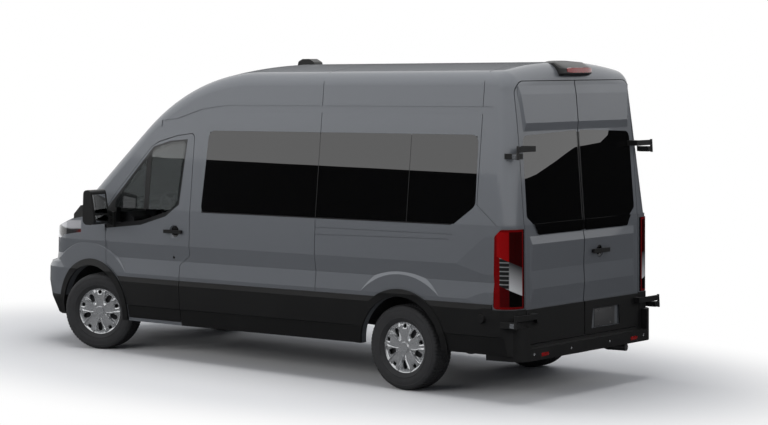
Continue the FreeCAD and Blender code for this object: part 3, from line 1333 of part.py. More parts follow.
def build_outside(parts, outer, nose):
    build_cladding(parts, nose)
    lamp = grown_lower(LAMP_PROUD).cut(lower_inner()).common(tail_lamp_zone(SEAT))
    parts["tail_lamps"] = both_sides(biggest(lamp))
    parts["rear_bumper"] = biggest(make_rear_bumper().cut(grown_lower(CLAD + SEAT)))
    lamp_base = prism_y([(-4835.0, 2530.0), (-4815.0, 2600.0), (-4700.0, 2655.0), (-4640.0, 2655.0),
                         (-4640.0, 2500.0)], -325.0, 325.0)
    parts["brake_lamp"] = biggest(lamp_base.cut(outer))
    outline = [(120.0, -50.0), (100.0, 18.0), (50.0, 40.0), (-30.0, 40.0), (-90.0, 10.0), (-110.0, -50.0)]
    pod = prism_y([(POD_X + dx, POD_Z + dz) for dx, dz in outline], -55.0, 55.0, [0, 20.0, 20.0, 20.0, 20.0, 0])
    parts["roof_pod"] = biggest(pod.cut(outer))


def build_inside(parts):
    parts["floor"], parts["wheelhouses"] = make_floor()
    wall, desk = make_dash()
    wheel, column = make_steering()
    parts["firewall"] = wall
    parts["dashboard"] = fused([desk, column])
    parts["steering_wheel"] = wheel
    parts["front_seats"] = make_seats([(-1000.0, 450.0), (-1000.0, -450.0)], 500.0)
    places = [(x, y) for x in (-1850.0, -2650.0) for y in (660.0, 200.0, -560.0)]
    places += [(-3450.0, 240.0), (-3450.0, -240.0)]
    places += [(-4400.0, y) for y in (690.0, 230.0, -230.0, -690.0)]
    parts["rear_seats"] = make_seats(places, 430.0)
    parts["engine"] = make_engine()
    parts["driveline"] = make_driveline()
    parts["rear_axle"] = make_rear_axle()
    parts["fuel_tank"] = make_fuel_tank()
    parts["exhaust"] = make_exhaust()


def build_level():
    """Pieces that stand level on the ground: wheels, knuckles and the front suspension."""
    level = {"subframe": make_subframe()}
    tyre = make_tyre()
    rim = make_rim()
    spots = {"front_left": (0.0, 0.5 * TRACK_FRONT, STEER_REST_DEG),
             "front_right": (0.0, -0.5 * TRACK_FRONT, STEER_REST_DEG),
             "rear_left": (-WHEELBASE, 0.5 * TRACK_REAR, 0.0),
             "rear_right": (-WHEELBASE, -0.5 * TRACK_REAR, 0.0)}
    for name, (x, y, turn) in spots.items():
        level["tyre_" + name] = placed_wheel(tyre, x, y, turn)
        level["rim_" + name] = placed_wheel(rim, x, y, turn)
    level["knuckle_left"] = make_knuckle(1.0)
    level["knuckle_right"] = make_knuckle(-1.0)
    return level


def main():
    parts = {}
    outer = build_shells(parts)
    nose = build_nose(parts, outer)
    build_outside(parts, outer, nose)
    build_inside(parts)
    finished = {name: raked(shape) for name, shape in parts.items()}
    finished["floor"] = finished["floor"].cut(tow_bar_holes())
    finished.update(build_level())
    os.makedirs("parts", exist_ok=True)
    for name, shape in finished.items():
        part = shape.copy()
        part.translate(V(-MIDDLE_X, 0, 0))
        part.exportStep("parts/" + name + ".step")
        b = part.BoundBox
        print(name, part.isValid(), len(part.Solids), round(part.Volume / 1e6, 1),
              [round(v) for v in (b.XMin, b.XMax, b.YMin, b.YMax, b.ZMin, b.ZMax)])
    return finished


if __name__ == "__main__":
    main()
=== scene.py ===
import bmesh
import bpy
import json
import math
from bpy.props import FloatProperty, FloatVectorProperty, IntProperty, PointerProperty
from mathutils import Matrix, Vector
from mathutils.bvhtree import BVHTree


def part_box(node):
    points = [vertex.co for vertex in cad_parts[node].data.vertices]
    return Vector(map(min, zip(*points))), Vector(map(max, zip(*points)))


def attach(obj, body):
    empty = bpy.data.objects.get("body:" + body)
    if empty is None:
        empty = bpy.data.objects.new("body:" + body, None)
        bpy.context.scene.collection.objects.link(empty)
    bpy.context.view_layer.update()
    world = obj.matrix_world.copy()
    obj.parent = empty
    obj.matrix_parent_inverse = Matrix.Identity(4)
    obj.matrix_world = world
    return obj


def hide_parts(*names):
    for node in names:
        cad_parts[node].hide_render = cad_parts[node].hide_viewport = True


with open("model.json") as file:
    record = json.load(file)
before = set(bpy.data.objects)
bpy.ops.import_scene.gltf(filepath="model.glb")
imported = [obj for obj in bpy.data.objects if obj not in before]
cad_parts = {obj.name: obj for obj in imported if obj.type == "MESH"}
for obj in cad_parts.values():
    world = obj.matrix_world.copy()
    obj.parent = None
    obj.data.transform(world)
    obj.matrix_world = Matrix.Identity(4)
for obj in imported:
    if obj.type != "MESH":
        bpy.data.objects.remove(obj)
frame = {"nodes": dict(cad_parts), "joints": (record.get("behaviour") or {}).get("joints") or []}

bl_info = {
    "name": "Minibus Dressing",
    "version": (1, 0, 0),
    "blender": (4, 5, 0),
    "location": "View3D > Sidebar > Minibus",
    "description": "Finishes and small pieces of a high-roof passenger minibus",
    "category": "Object",
}

NODES = frame["nodes"]
JOINTS = {j["name"]: j for j in frame["joints"]}
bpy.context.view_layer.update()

# The body's own frame: x = 0 over the front axle, z = 0 on the ground, tipped by the rake about the axle
AXLE = Vector((JOINTS["steer_left"]["pos_m"][0], 0.0, JOINTS["steer_left"]["pos_m"][2]))
DOOR_AXIS = JOINTS["front_door_right_hinge"]["axis"]
RAKE = math.atan2(DOOR_AXIS[0], DOOR_AXIS[2])
BODY = Matrix.Translation(AXLE) @ Matrix.Rotation(RAKE, 4, "Y") @ Matrix.Translation((0, 0, -AXLE.z))
LEFT, RIGHT = 1.0, -1.0
SIDES = ((LEFT, "left"), (RIGHT, "right"))
CORNERS = ("front_left", "front_right", "rear_left", "rear_right")


# Sizes and colours that a user may change

class MinibusFinish(bpy.types.PropertyGroup):
    paint: FloatVectorProperty(name="Paint", description="Colour of the metallic body paint", subtype="COLOR",
                               size=3, default=(0.168, 0.178, 0.193))
    plastic: FloatVectorProperty(name="Black plastic", description="Colour of the cladding and bumpers",
                                 subtype="COLOR", size=3, default=(0.005, 0.005, 0.0052))
    cloth: FloatVectorProperty(name="Seat cloth", description="Colour of the seat covers", subtype="COLOR",
                               size=3, default=(0.035, 0.036, 0.04))
    cover: FloatVectorProperty(name="Wheel cover", description="Colour of the wheel covers", subtype="COLOR",
                               size=3, default=(0.66, 0.67, 0.68))
    lens: FloatVectorProperty(name="Red lens", description="Colour of the tail lamps", subtype="COLOR",
                              size=3, default=(0.21, 0.0015, 0.002))


class MinibusSizes(bpy.types.PropertyGroup):
    tread_depth: FloatProperty(name="Tread depth", description="Depth of the grooves in the tyres",
                               default=0.007, min=0.0, max=0.012, unit="LENGTH", subtype="DISTANCE")
    tread_pitches: IntProperty(name="Tread pitches", description="Blocks round each tyre", default=72, min=24,
                               max=120)
    rib_height: FloatProperty(name="Rib height", description="Height of the ribs on the wheel covers",
                              default=0.013, min=0.0, max=0.02, unit="LENGTH", subtype="DISTANCE")
    pad_voxel: FloatProperty(name="Pad cell", description="Size of the cells of the seat pads' mesh",
                             default=0.02, min=0.01, max=0.04, unit="LENGTH", subtype="DISTANCE")
    lens_mm: FloatProperty(name="Camera lens", description="Focal length on a 36 mm wide sensor",
                           default=102.65, min=20.0, max=300.0, unit="CAMERA")


# Small tools

def linked(name, data):
    """A new object in the scene that holds data."""
    made = bpy.data.objects.new(name, data)
    bpy.context.scene.collection.objects.link(made)
    return made


def plain_mesh(name, verts, faces):
    mesh = bpy.data.meshes.new(name)
    mesh.from_pydata([tuple(v) for v in verts], [], faces)
    return mesh


def row_piece(name, part, key, body="body", smooth=True):
    """A piece whose points lie in the row's frame."""
    mesh = plain_mesh(name, *part)
    mesh.validate()
    even = bmesh.new()
    even.from_mesh(mesh)
    bmesh.ops.recalc_face_normals(even, faces=even.faces)
    even.to_mesh(mesh)
    even.free()
    mesh.materials.append(FINISH[key])
    piece = linked(name, mesh)
    if smooth:
        mesh.shade_smooth()
        mesh.set_sharp_from_angle(angle=math.radians(35.0))
    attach(piece, body)
    return piece


def body_piece(name, part, key, body="body", smooth=True):
    """A piece drawn in the body's own frame."""
    return row_piece(name, moved(part, BODY), key, body, smooth)


def joined(parts):
    """One list of vertices and faces from several."""
    verts, faces = [], []
    for v, f in parts:
        base = len(verts)
        verts += [Vector(p) for p in v]
        faces += [tuple(i + base for i in face) for face in f]
    return verts, faces


def moved(part, matrix):
    return [matrix @ Vector(v) for v in part[0]], part[1]


def form_of(work):
    """The vertices and faces of a bmesh, which is then freed."""
    work.verts.index_update()
    verts = [v.co.copy() for v in work.verts]
    faces = [tuple(v.index for v in f.verts) for f in work.faces]
    work.free()
    return verts, faces


def bevelled_block(size, radius, segments=2):
    """A block about the origin with every edge rounded."""
    work = bmesh.new()
    bmesh.ops.create_cube(work, size=1.0)
    bmesh.ops.scale(work, vec=size, verts=work.verts)
    bmesh.ops.bevel(work, geom=work.edges[:], offset=radius, segments=segments, affect="EDGES", profile=0.5)
    return form_of(work)


def block(x0, x1, y0, y1, z0, z1, radius=0.004, segments=2):
    part = bevelled_block((x1 - x0, y1 - y0, z1 - z0), radius, segments)
    return moved(part, Matrix.Translation((0.5 * (x0 + x1), 0.5 * (y0 + y1), 0.5 * (z0 + z1))))


def quads(rows, wide, closed=False):
    """Faces between rows of points that follow each other, each row a ring of wide points."""
    faces = []
    for i in range(rows if closed else rows - 1):
        n = (i + 1) % rows
        for k in range(wide):
            m = (k + 1) % wide
            faces.append((i * wide + k, i * wide + m, n * wide + m, n * wide + k))
    return faces


def lofted(rows):
    """A skin over rows of points, each row one ring, with both ends capped."""
    count, wide = len(rows), len(rows[0])
    ends = [tuple(reversed(range(wide))), tuple(range((count - 1) * wide, count * wide))]
    return [Vector(p) for row in rows for p in row], quads(count, wide) + ends


def circle(steps):
    return [2 * math.pi * k / steps for k in range(steps)]


def turned(profile, steps=48, closed=False):
    """A profile of (radius, height) points turned about Z. A radius of nought closes an end."""
    verts = [Vector((r * math.cos(a), r * math.sin(a), h)) for r, h in profile for a in circle(steps)]
    return verts, quads(len(profile), steps, closed)


def tube(points, radius, steps=10):
    """A round tube along points, with flat ends."""
    spots = [Vector(p) for p in points]
    rows = []
    side = None
    for i, p in enumerate(spots):
        way = (spots[min(i + 1, len(spots) - 1)] - spots[max(i - 1, 0)]).normalized()
        if side is None:
            side = way.orthogonal().normalized()
        side = (side - way * side.dot(way)).normalized()
        other = way.cross(side)
        rows.append([p + (side * math.cos(a) + other * math.sin(a)) * radius for a in circle(steps)])
    return lofted(rows)


# Shader tools

def give(tree, socket, value):
    """Links value where it is another node's socket, and sets it otherwise."""
    if isinstance(value, bpy.types.NodeSocket):
        tree.links.new(value, socket)
    elif socket.type == "RGBA":
        socket.default_value = (value[0], value[1], value[2], 1.0)
    else:
        socket.default_value = value


def feed(tree, node, values):
    """Gives a node's sockets, by name or number, their values or links."""
    for key, value in values.items():
        give(tree, node.inputs[key], value)
    return node


def add_node(tree, kind, values, **settings):
    """A shader node with its settings, such as an operation, and its sockets' values or links."""
    node = tree.nodes.new("ShaderNode" + kind)
    for key, value in settings.items():
        setattr(node, key, value)
    return feed(tree, node, values)


def math_node(tree, kind, a, b):
    return add_node(tree, "Math", {0: a, 1: b}, operation=kind).outputs[0]


def noise_node(tree, where, scale, detail=3.0):
    return add_node(tree, "TexNoise", {"Detail": detail, "Scale": scale, "Vector": where}).outputs["Fac"]


def ramp_node(tree, value, low, high, **settings):
    """0 below low, 1 above high."""
    return add_node(tree, "MapRange", {"Value": value, "From Min": low, "From Max": high},
                    **settings).outputs["Result"]


def mix_colour(tree, mask, a, b):
    node = add_node(tree, "Mix", {0: mask}, data_type="RGBA")
    for socket, value in zip([i for i in node.inputs if i.type == "RGBA"], (a, b)):
        give(tree, socket, value)
    return next(o for o in node.outputs if o.type == "RGBA")


def object_place(tree):
    return tree.nodes.new("ShaderNodeTexCoord").outputs["Object"]


def body_spot(tree):
    """The place on the surface in the body's own frame."""
    back = {"Rotation": (0.0, -RAKE, 0.0), "Location": BODY.inverted().to_translation()}
    return add_node(tree, "Mapping", {"Vector": object_place(tree), **back}).outputs["Vector"]


def body_axes(tree):
    """The place on the surface in the body's own frame, as three sockets."""
    return add_node(tree, "SeparateXYZ", {0: body_spot(tree)}).outputs[:]


def inside(tree, spot, corners, grow, across="x"):
    """1 inside the convex outline of (x or y, z) corners, each edge moved out by its own value in grow."""
    worst = None
    for k, (a, b) in enumerate(zip(corners, corners[1:] + corners[:1])):
        way = Vector((b[0] - a[0], b[1] - a[1])).normalized()
        out = Vector((way.y, 0.0, -way.x)) if across == "x" else Vector((0.0, way.y, -way.x))
        along = add_node(tree, "VectorMath", {0: spot, 1: out}, operation="DOT_PRODUCT").outputs["Value"]
        far = math_node(tree, "SUBTRACT", along, way.y * a[0] - way.x * a[1] + grow[k])
        worst = far if worst is None else math_node(tree, "MAXIMUM", worst, far)
    return ramp_node(tree, worst, 0.0005, -0.0005)


# Shader groups that several finishes share

def group(name, inputs, outputs):
    """A node group. A tuple in inputs makes a colour socket and a number a value socket."""
    tree = bpy.data.node_groups.new(name, "ShaderNodeTree")
    for label, value in inputs.items():
        kind = "NodeSocketColor" if isinstance(value, tuple) else "NodeSocketFloat"
        tree.interface.new_socket(name=label, in_out="INPUT", socket_type=kind).default_value = value
    for label, kind in outputs.items():
        tree.interface.new_socket(name=label, in_out="OUTPUT", socket_type=kind)
    return tree, tree.nodes.new("NodeGroupInput").outputs, tree.nodes.new("NodeGroupOutput")


def swing(tree, value, share):
    """Noise about its middle, made stronger or weaker by a share."""
    return math_node(tree, "MULTIPLY", math_node(tree, "SUBTRACT", value, 0.5), share)


def grain_group():
    """Moulded grain: a fine leathery height, and a roughness that varies with soft handling marks."""
    tree, enter, leave = group("Moulded Grain", {"Scale": 900.0, "Roughness": 0.55, "Spread": 0.1},
                               {"Height": "NodeSocketFloat", "Roughness": "NodeSocketFloat"})
    where = object_place(tree)
    cells = add_node(tree, "TexVoronoi", {"Vector": where, "Scale": enter["Scale"]})
    soft = swing(tree, noise_node(tree, where, 3.0, 4.0), enter["Spread"])
    feed(tree, leave, {"Height": cells.outputs["Distance"],
                       "Roughness": math_node(tree, "ADD", soft, enter["Roughness"])})


def tone_group():
    """Soft noise that lightens and darkens a colour a little."""
    tree, enter, leave = group("Soft Tone", {"Color": (0.5, 0.5, 0.5, 1.0), "Scale": 4.0, "Amount": 0.1},
                               {"Color": "NodeSocketColor"})
    value = noise_node(tree, object_place(tree), enter["Scale"], 5.0)
    factor = math_node(tree, "ADD", swing(tree, value, enter["Amount"]), 1.0)
    mix = add_node(tree, "VectorMath", {0: enter["Color"], "Scale": factor}, operation="SCALE")
    feed(tree, leave, {"Color": mix.outputs[0]})


# Finishes

def material(name):
    made = bpy.data.materials.new(name)
    made.use_nodes = True
    tree = made.node_tree
    return made, tree, tree.nodes["Principled BSDF"]


def use_group(tree, label, **values):
    return add_node(tree, "Group", values, node_tree=bpy.data.node_groups[label]).outputs


def bump(tree, shader, height, distance, strength=1.0):
    node = add_node(tree, "Bump", {"Distance": distance, "Strength": strength, "Height": height})
    feed(tree, shader, {"Normal": node.outputs[0]})


def toned(tree, shader, colour, scale, amount):
    tone = use_group(tree, "Soft Tone", Color=colour, Scale=scale, Amount=amount)["Color"]
    feed(tree, shader, {"Base Color": tone})
    return tone


def grained(tree, shader, scale, rough, spread):
    """Gives the shader the moulded grain's roughness, and gives back the grain's height."""
    grain = use_group(tree, "Moulded Grain", Scale=scale, Roughness=rough, Spread=spread)
    feed(tree, shader, {"Roughness": grain["Roughness"]})
    return grain["Height"]


# Corners of the front door's window in the body's frame, and how far the black surround goes past each edge

DOOR_WINDOW = [(-0.330, 1.175), (-0.345, 1.400), (-0.500, 1.560), (-0.840, 1.895), (-1.050, 1.950),
               (-1.235, 1.965), (-1.180, 1.400), (-1.030, 1.300), (-0.720, 1.215)]
DOOR_SURROUND = [0.115, 0.050, 0.026, 0.018, 0.014, 0.012, 0.012, 0.016, 0.020]

# The black print behind the side panes and between the rear panes
SIDE_BAND = [(-1.475, 1.33), (-1.52, 2.05), (-4.50, 2.05), (-4.51, 1.49), (-4.28, 1.33)]
REAR_BAND = [(0.05, 1.256), (0.05, 2.064), (-0.05, 2.064), (-0.05, 1.256)]
BLACK_PRINT = (0.004, 0.004, 0.0045)
PAINT_METAL = 0.55


def paint_finish(name, colour, band=None, grow=None, across="x"):
    """Metallic paint under a clear coat, with black print inside a band of the body where one is given."""
    made, tree, shader = material(name)
    where = object_place(tree)
    tone = toned(tree, shader, colour, 1400.0, 0.35)
    metal = PAINT_METAL
    if band:
        black = inside(tree, body_spot(tree), band, grow or [0.0] * len(band), across)
        feed(tree, shader, {"Base Color": mix_colour(tree, black, tone, BLACK_PRINT)})
        metal = math_node(tree, "MULTIPLY", math_node(tree, "SUBTRACT", 1.0, black), PAINT_METAL)
    flake = noise_node(tree, where, 2500.0, 1.0)
    rough = math_node(tree, "ADD", math_node(tree, "MULTIPLY", flake, 0.14), 0.36)
    feed(tree, shader, {"Metallic": metal, "Roughness": rough, "Coat Weight": 0.6, "Coat Roughness": 0.04,
                        "Coat IOR": 1.5})
    bump(tree, shader, noise_node(tree, where, 160.0, 2.0), 0.0004, 0.12)
    return made


def plastic_finish(name, colour, scale=1100.0, rough=0.5, deep=0.0003, amount=0.12):
    made, tree, shader = material(name)
    toned(tree, shader, colour, 5.0, amount)
    bump(tree, shader, grained(tree, shader, scale, rough, 0.14), deep, 0.5)
    return made


def gloss_finish(name, colour, rough=0.12, metal=0.0, coat=0.5):
    made, tree, shader = material(name)
    toned(tree, shader, colour, 30.0, 0.1)
    grained(tree, shader, 60.0, rough, 0.06)
    feed(tree, shader, {"Metallic": metal, "Coat Weight": coat, "Coat Roughness": 0.03})
    return made


def glass_finish(name, colour, through, ior=1.45):
    """Tinted glass: a dark body that lets part of the light through, with a clean surface."""
    made, tree, shader = material(name)
    toned(tree, shader, colour, 2.0, 0.1)
    feed(tree, shader, {"Roughness": 0.0, "Metallic": 0.0, "Transmission Weight": through, "IOR": ior})
    bump(tree, shader, noise_node(tree, object_place(tree), 1.2, 1.0), 0.002, 0.05)
    return made


def tyre_finish():
    made, tree, shader = material("tyre_rubber")
    toned(tree, shader, (0.022, 0.022, 0.023), 25.0, 0.5)
    bump(tree, shader, grained(tree, shader, 500.0, 0.72, 0.2), 0.0004, 0.5)
    return made


def cover_finish(colour):
    made, tree, shader = material("wheel_cover")
    toned(tree, shader, colour, 900.0, 0.2)
    grained(tree, shader, 1500.0, 0.2, 0.08)
    feed(tree, shader, {"Metallic": 0.75, "Coat Weight": 0.4, "Coat Roughness": 0.1})
    return made


def metal_finish(name, colour, rough, metal=1.0, scale=60.0):
    made, tree, shader = material(name)
    toned(tree, shader, colour, scale, 0.5)
    height = grained(tree, shader, scale * 6.0, rough, 0.3)
    feed(tree, shader, {"Metallic": metal})
    bump(tree, shader, height, 0.0006, 0.35)
    return made


def cloth_finish(colour):
    """Woven seat cloth: crossing threads, a little sheen and a soft mottle."""
    made, tree, shader = material("seat_cloth")
    where = object_place(tree)
    threads = [add_node(tree, "TexWave", {"Scale": 130.0, "Distortion": 0.6, "Vector": where},
                        bands_direction=way).outputs["Fac"] for way in ("X", "Z")]
    toned(tree, shader, colour, 220.0, 0.9)
    feed(tree, shader, {"Roughness": 0.92, "Sheen Weight": 0.25})
    bump(tree, shader, math_node(tree, "MAXIMUM", *threads), 0.0008, 0.6)
    return made


def carpet_finish():
    made, tree, shader = material("floor_covering")
    toned(tree, shader, (0.02, 0.02, 0.021), 400.0, 0.8)
    feed(tree, shader, {"Roughness": 0.9})
    bump(tree, shader, noise_node(tree, object_place(tree), 700.0, 3.0), 0.001, 0.6)
    return made


# The tail lamp's corners in the body's frame, and where its slanted middle zone starts and ends
LAMP_FRONT, LAMP_OUT, LAMP_WRAP = -4.715, 1.024, 0.352
LAMP_LOW, LAMP_HIGH = 0.675, 1.310
ZONE_LOW, ZONE_HIGH, ZONE_SOFT, ZONE_FALL = 0.882, 1.108, 0.002, 0.109

# Shares of the way round the corner: from the side zone to the rear one, the red border and the dark rim
LAMP_SPLIT = (0.47, 0.50)
BORDER = (0.12, 0.10, 0.93, 0.945)
LOW_BORDER = (0.20, 0.18)
DARK_RIM = (0.022, 0.015, 0.978, 0.985)

# Where the border starts and ends inside the lamp's lower and upper edge
BORDER_IN, BORDER_OUT = 0.020, 0.017
RED_TRACE = (0.0005, 0.001)


def tail_lamp_finish(colour):
    """Red lens in zones: bright above, clear in a slanted middle and dark below, with a red border. The clear
    middle holds painted reflections: light stripes along the ribs at the side, and a grey that grows lighter
    downwards at the rear.
    """
    made, tree, shader = material("tail_lens")
    x, y, z = body_axes(tree)

    def most(*values):
        top = values[0]
        for value in values[1:]:
            top = math_node(tree, "MAXIMUM", top, value)
        return top

    def outside(value, low, low_end, high, high_end):
        return most(ramp_node(tree, value, low, low_end), ramp_node(tree, value, high, high_end))

    wide = math_node(tree, "ABSOLUTE", y, 0.0)
    run = math_node(tree, "SUBTRACT", LAMP_FRONT + LAMP_OUT, math_node(tree, "ADD", x, wide))
    across = math_node(tree, "DIVIDE", run, LAMP_WRAP)
    slanted = math_node(tree, "ADD", z, math_node(tree, "MULTIPLY", across, ZONE_FALL))
    above = ramp_node(tree, slanted, ZONE_HIGH - ZONE_SOFT, ZONE_HIGH + ZONE_SOFT)
    under = ramp_node(tree, slanted, ZONE_LOW + ZONE_SOFT, ZONE_LOW - ZONE_SOFT)
    rear = ramp_node(tree, across, *LAMP_SPLIT)
    upper = mix_colour(tree, rear, colour, (colour[0] * 0.10, 0.0, 0.0))
    lower = mix_colour(tree, rear, (colour[0] * 0.22, *RED_TRACE), (0.001, 0.0005, 0.0005))
    # Painted reflections in the clear middle: light stripes along the ribs at the side, and grey that grows
    # lighter downwards at the rear
    ribs = add_node(tree, "TexWave", {"Scale": 9.0, "Distortion": 0.4, "Vector": object_place(tree)},
                    bands_direction="Z").outputs["Fac"]
    rib_glints = mix_colour(tree, ramp_node(tree, ribs, 0.72, 0.98), (0.012, 0.012, 0.012), (0.16, 0.16, 0.16))
    clear = mix_colour(tree, ramp_node(tree, slanted, 1.10, 0.89), (0.03, 0.03, 0.03), (0.42, 0.42, 0.42))
    body = mix_colour(tree, above, mix_colour(tree, rear, rib_glints, clear), upper)
    body = mix_colour(tree, under, body, lower)
    ends = outside(z, LAMP_LOW + BORDER_IN, LAMP_LOW + BORDER_OUT, LAMP_HIGH - BORDER_IN,
                   LAMP_HIGH - BORDER_OUT)
    sides = outside(across, *BORDER)
    low_side = math_node(tree, "MULTIPLY", ramp_node(tree, across, *LOW_BORDER),
                         math_node(tree, "SUBTRACT", 1.0, above))
    body = mix_colour(tree, most(ends, sides, low_side), body, (colour[0] * 0.55, *RED_TRACE))
    body = mix_colour(tree, outside(across, *DARK_RIM), body, (0.002, 0.002, 0.002))
    height = grained(tree, shader, 170.0, 0.22, 0.1)
    feed(tree, shader, {"Base Color": body, "Specular IOR Level": 0.2, "Coat Weight": 0.1,
                        "Coat Roughness": 0.03})
    bump(tree, shader, height, 0.001, 0.15)
    return made


def head_lamp_finish():
    """Chrome bowls behind a clear cover, their reflections painted as light rings on a dark ground, with a
    red marker at the side.
    """
    made, tree, shader = material("head_lamp")
    y, z = body_axes(tree)[1:]
    wide = math_node(tree, "ABSOLUTE", y, 0.0)
    waves = add_node(tree, "TexWave", {"Scale": 2.2, "Distortion": 1.5, "Vector": object_place(tree)},
                     wave_type="RINGS").outputs["Fac"]
    # Painted reflections: the rings' light and dark stand in for what the chrome bowls reflect; the same
    # rings also give the bump
    body = mix_colour(tree, ramp_node(tree, waves, 0.35, 0.6), (0.02, 0.02, 0.022), (0.5, 0.5, 0.52))
    marker = math_node(tree, "MULTIPLY", ramp_node(tree, wide, 0.955, 0.96), ramp_node(tree, z, 1.12, 1.11))
    grained(tree, shader, 120.0, 0.2, 0.1)
    feed(tree, shader, {"Base Color": mix_colour(tree, marker, body, (0.12, 0.003, 0.003)), "Metallic": 0.5,
                        "Coat Weight": 1.0, "Coat Roughness": 0.02})
    bump(tree, shader, waves, 0.003, 0.3)
    return made


FINISH = {}


def make_finishes():
    look = bpy.context.scene.minibus_finish
    grain_group()
    tone_group()
    FINISH.update({
        "paint": paint_finish("body_paint", look.paint),
        "door_paint": paint_finish("door_paint", look.paint, DOOR_WINDOW, DOOR_SURROUND),
        "side_paint": paint_finish("side_paint", look.paint, SIDE_BAND),
        "rear_paint": paint_finish("rear_paint", look.paint, REAR_BAND, across="y"),
        "plastic": plastic_finish("black_cladding", look.plastic, rough=0.46),
        "trim": plastic_finish("fine_black_trim", (0.01, 0.01, 0.01), scale=1800.0, rough=0.36, deep=0.0001),
        "cabin": plastic_finish("cabin_moulding", (0.022, 0.022, 0.024), scale=800.0, rough=0.6),
        "lining": plastic_finish("roof_lining", (0.16, 0.16, 0.16), scale=1200.0, rough=0.85, amount=0.2),
        "privacy": glass_finish("privacy_glass", (0.0006, 0.0006, 0.0007), 0.06, ior=1.95),
        "glass": glass_finish("tinted_glass", (0.10, 0.11, 0.11), 0.9, ior=1.8),
        "tyre": tyre_finish(),
        "cover": cover_finish(look.cover),
        "steel": metal_finish("dark_steel", (0.03, 0.03, 0.032), 0.5, 0.6),
        "bright": metal_finish("bright_metal", (0.6, 0.6, 0.62), 0.25, 1.0, 200.0),
        "cast": metal_finish("cast_iron", (0.05, 0.05, 0.052), 0.7, 0.7, 90.0),
        "under": metal_finish("coated_underbody", (0.014, 0.014, 0.015), 0.75, 0.0, 40.0),
        "red": gloss_finish("red_reflector", look.lens, 0.2, 0.0, 1.0),
        "black": gloss_finish("gloss_black", (0.006, 0.006, 0.006), 0.12, 0.0, 0.8),
        "plate": plastic_finish("blank_plate", (0.05, 0.05, 0.05), scale=300.0, rough=0.45),
        "grey": plastic_finish("grey_plastic", (0.10, 0.105, 0.11), scale=900.0, rough=0.42),
        "headlamp": head_lamp_finish(),
        "tail": tail_lamp_finish(look.lens),
        "cloth": cloth_finish(look.cloth),
        "carpet": carpet_finish(),
        "mirror": gloss_finish("mirror_glass", (0.45, 0.46, 0.47), 0.02, 1.0, 0.0),
        "amber": gloss_finish("amber_lens", (0.45, 0.13, 0.01), 0.15, 0.0, 1.0),
    })


NODE_FINISH = {
    "paint": ("roof", "side_right", "sliding_door", "fenders", "hood", "front_bumper"),
    "side_paint": ("side_left",),
    "rear_paint": ("rear_door_left", "rear_door_right"),
    "door_paint": ("front_door_left", "front_door_right"),
    "plastic": ("cladding_left", "cladding_right", "rear_bumper", "front_skirt", "front_door_trim_left",
                "front_door_trim_right", "rear_door_trim_left", "rear_door_trim_right", "cowl", "fuel_tank"),
    "trim": ("mirror_left", "mirror_right", "grille", "door_hinges", "roof_pod"),
    "privacy": ("side_glass", "rear_glass_left", "rear_glass_right"),
    "glass": ("windscreen", "front_door_glass_left", "front_door_glass_right"),
    "cabin": ("dashboard", "steering_wheel", "firewall"),
    "headlamp": ("headlamps",),
    "tail": ("tail_lamps",),
    "black": ("brake_lamp",),
    "cloth": ("front_seats", "rear_seats"),
    "steel": ("subframe", "driveline", "rear_axle"),
    "cast": ("engine", "knuckle_left", "knuckle_right"),
    "bright": ("exhaust",),
    "under": ("floor", "wheelhouses"),
    "tyre": tuple("tyre_" + c for c in CORNERS),
    "cover": tuple("rim_" + c for c in CORNERS),
}


class MINIBUS_OT_finishes(bpy.types.Operator):
    """Builds the finishes and puts one on every piece of the frame"""
    bl_idname = "minibus.finishes"
    bl_label = "Finishes"

    def execute(self, context):
        make_finishes()
        given = set()
        for key, names in NODE_FINISH.items():
            for name in names:
                if name not in NODES:
                    raise RuntimeError("no frame piece named " + name)
                mesh = NODES[name].data
                mesh.materials.clear()
                mesh.materials.append(FINISH[key])
                given.add(name)
        left = sorted(set(NODES) - given)
        if left:
            raise RuntimeError("no finish for " + ", ".join(left))
        return {"FINISHED"}


# Stage

CAMERA_SPOT = (-15.074, 14.956, 2.852)
CAMERA_YAW, CAMERA_PITCH, CAMERA_ROLL = -50.47, -4.37, -0.32
FLOOR_HALF = 60.0
FLOOR_OVAL = (4.1, 2.5, 1.0)
FADE_START, FADE_END = 0.82, 1.42
SKY_COLOUR, SKY_STRENGTH = (0.86, 0.9, 1.0), 0.36

# Each light's place, its width and height, and its power
SOFTBOXES = {
    "top_light": ((0.0, 0.5, 9.0), (9.0, 5.0), 500.0),
    "left_light": ((0.5, 11.0, 4.6), (9.0, 4.0), 430.0),
    "rear_light": ((-12.0, 0.0, 6.0), (5.0, 4.0), 200.0),
    "right_light": ((2.0, -11.0, 6.0), (8.0, 4.0), 200.0),
    "front_light": ((9.0, 9.0, 3.5), (5.0, 3.0), 260.0),
}

# The black cards' distance, end and height, and the upper edge of the right one towards its rear end
CARD_Y, CARD_END, CARD_TOP = 9.0, 16.0, 3.1
CARD_EDGE = [(-7.8, CARD_TOP), (-8.2, 2.95), (-8.32, 2.72), (-8.5, 2.65), (-8.8, 2.66), (-9.1, 2.67),
             (-9.3, 2.62), (-9.6, 2.54), (-10.1, 2.42), (-11.0, 2.3), (-CARD_END, 2.3)]

# The high card's distance and its ends and heights, the floor card's height, and the rear card's place
HIGH_CARD_Y, HIGH_CARD = -9.4, (3.0, 15.0, 3.0, 6.0)
LOW_CARD_Z = 0.004
REAR_CARD_X = -13.0
REAR_CARD = [(CARD_Y, 0.0), (-CARD_Y, 0.0), (-CARD_Y, 3.0), (CARD_Y, 2.2)]


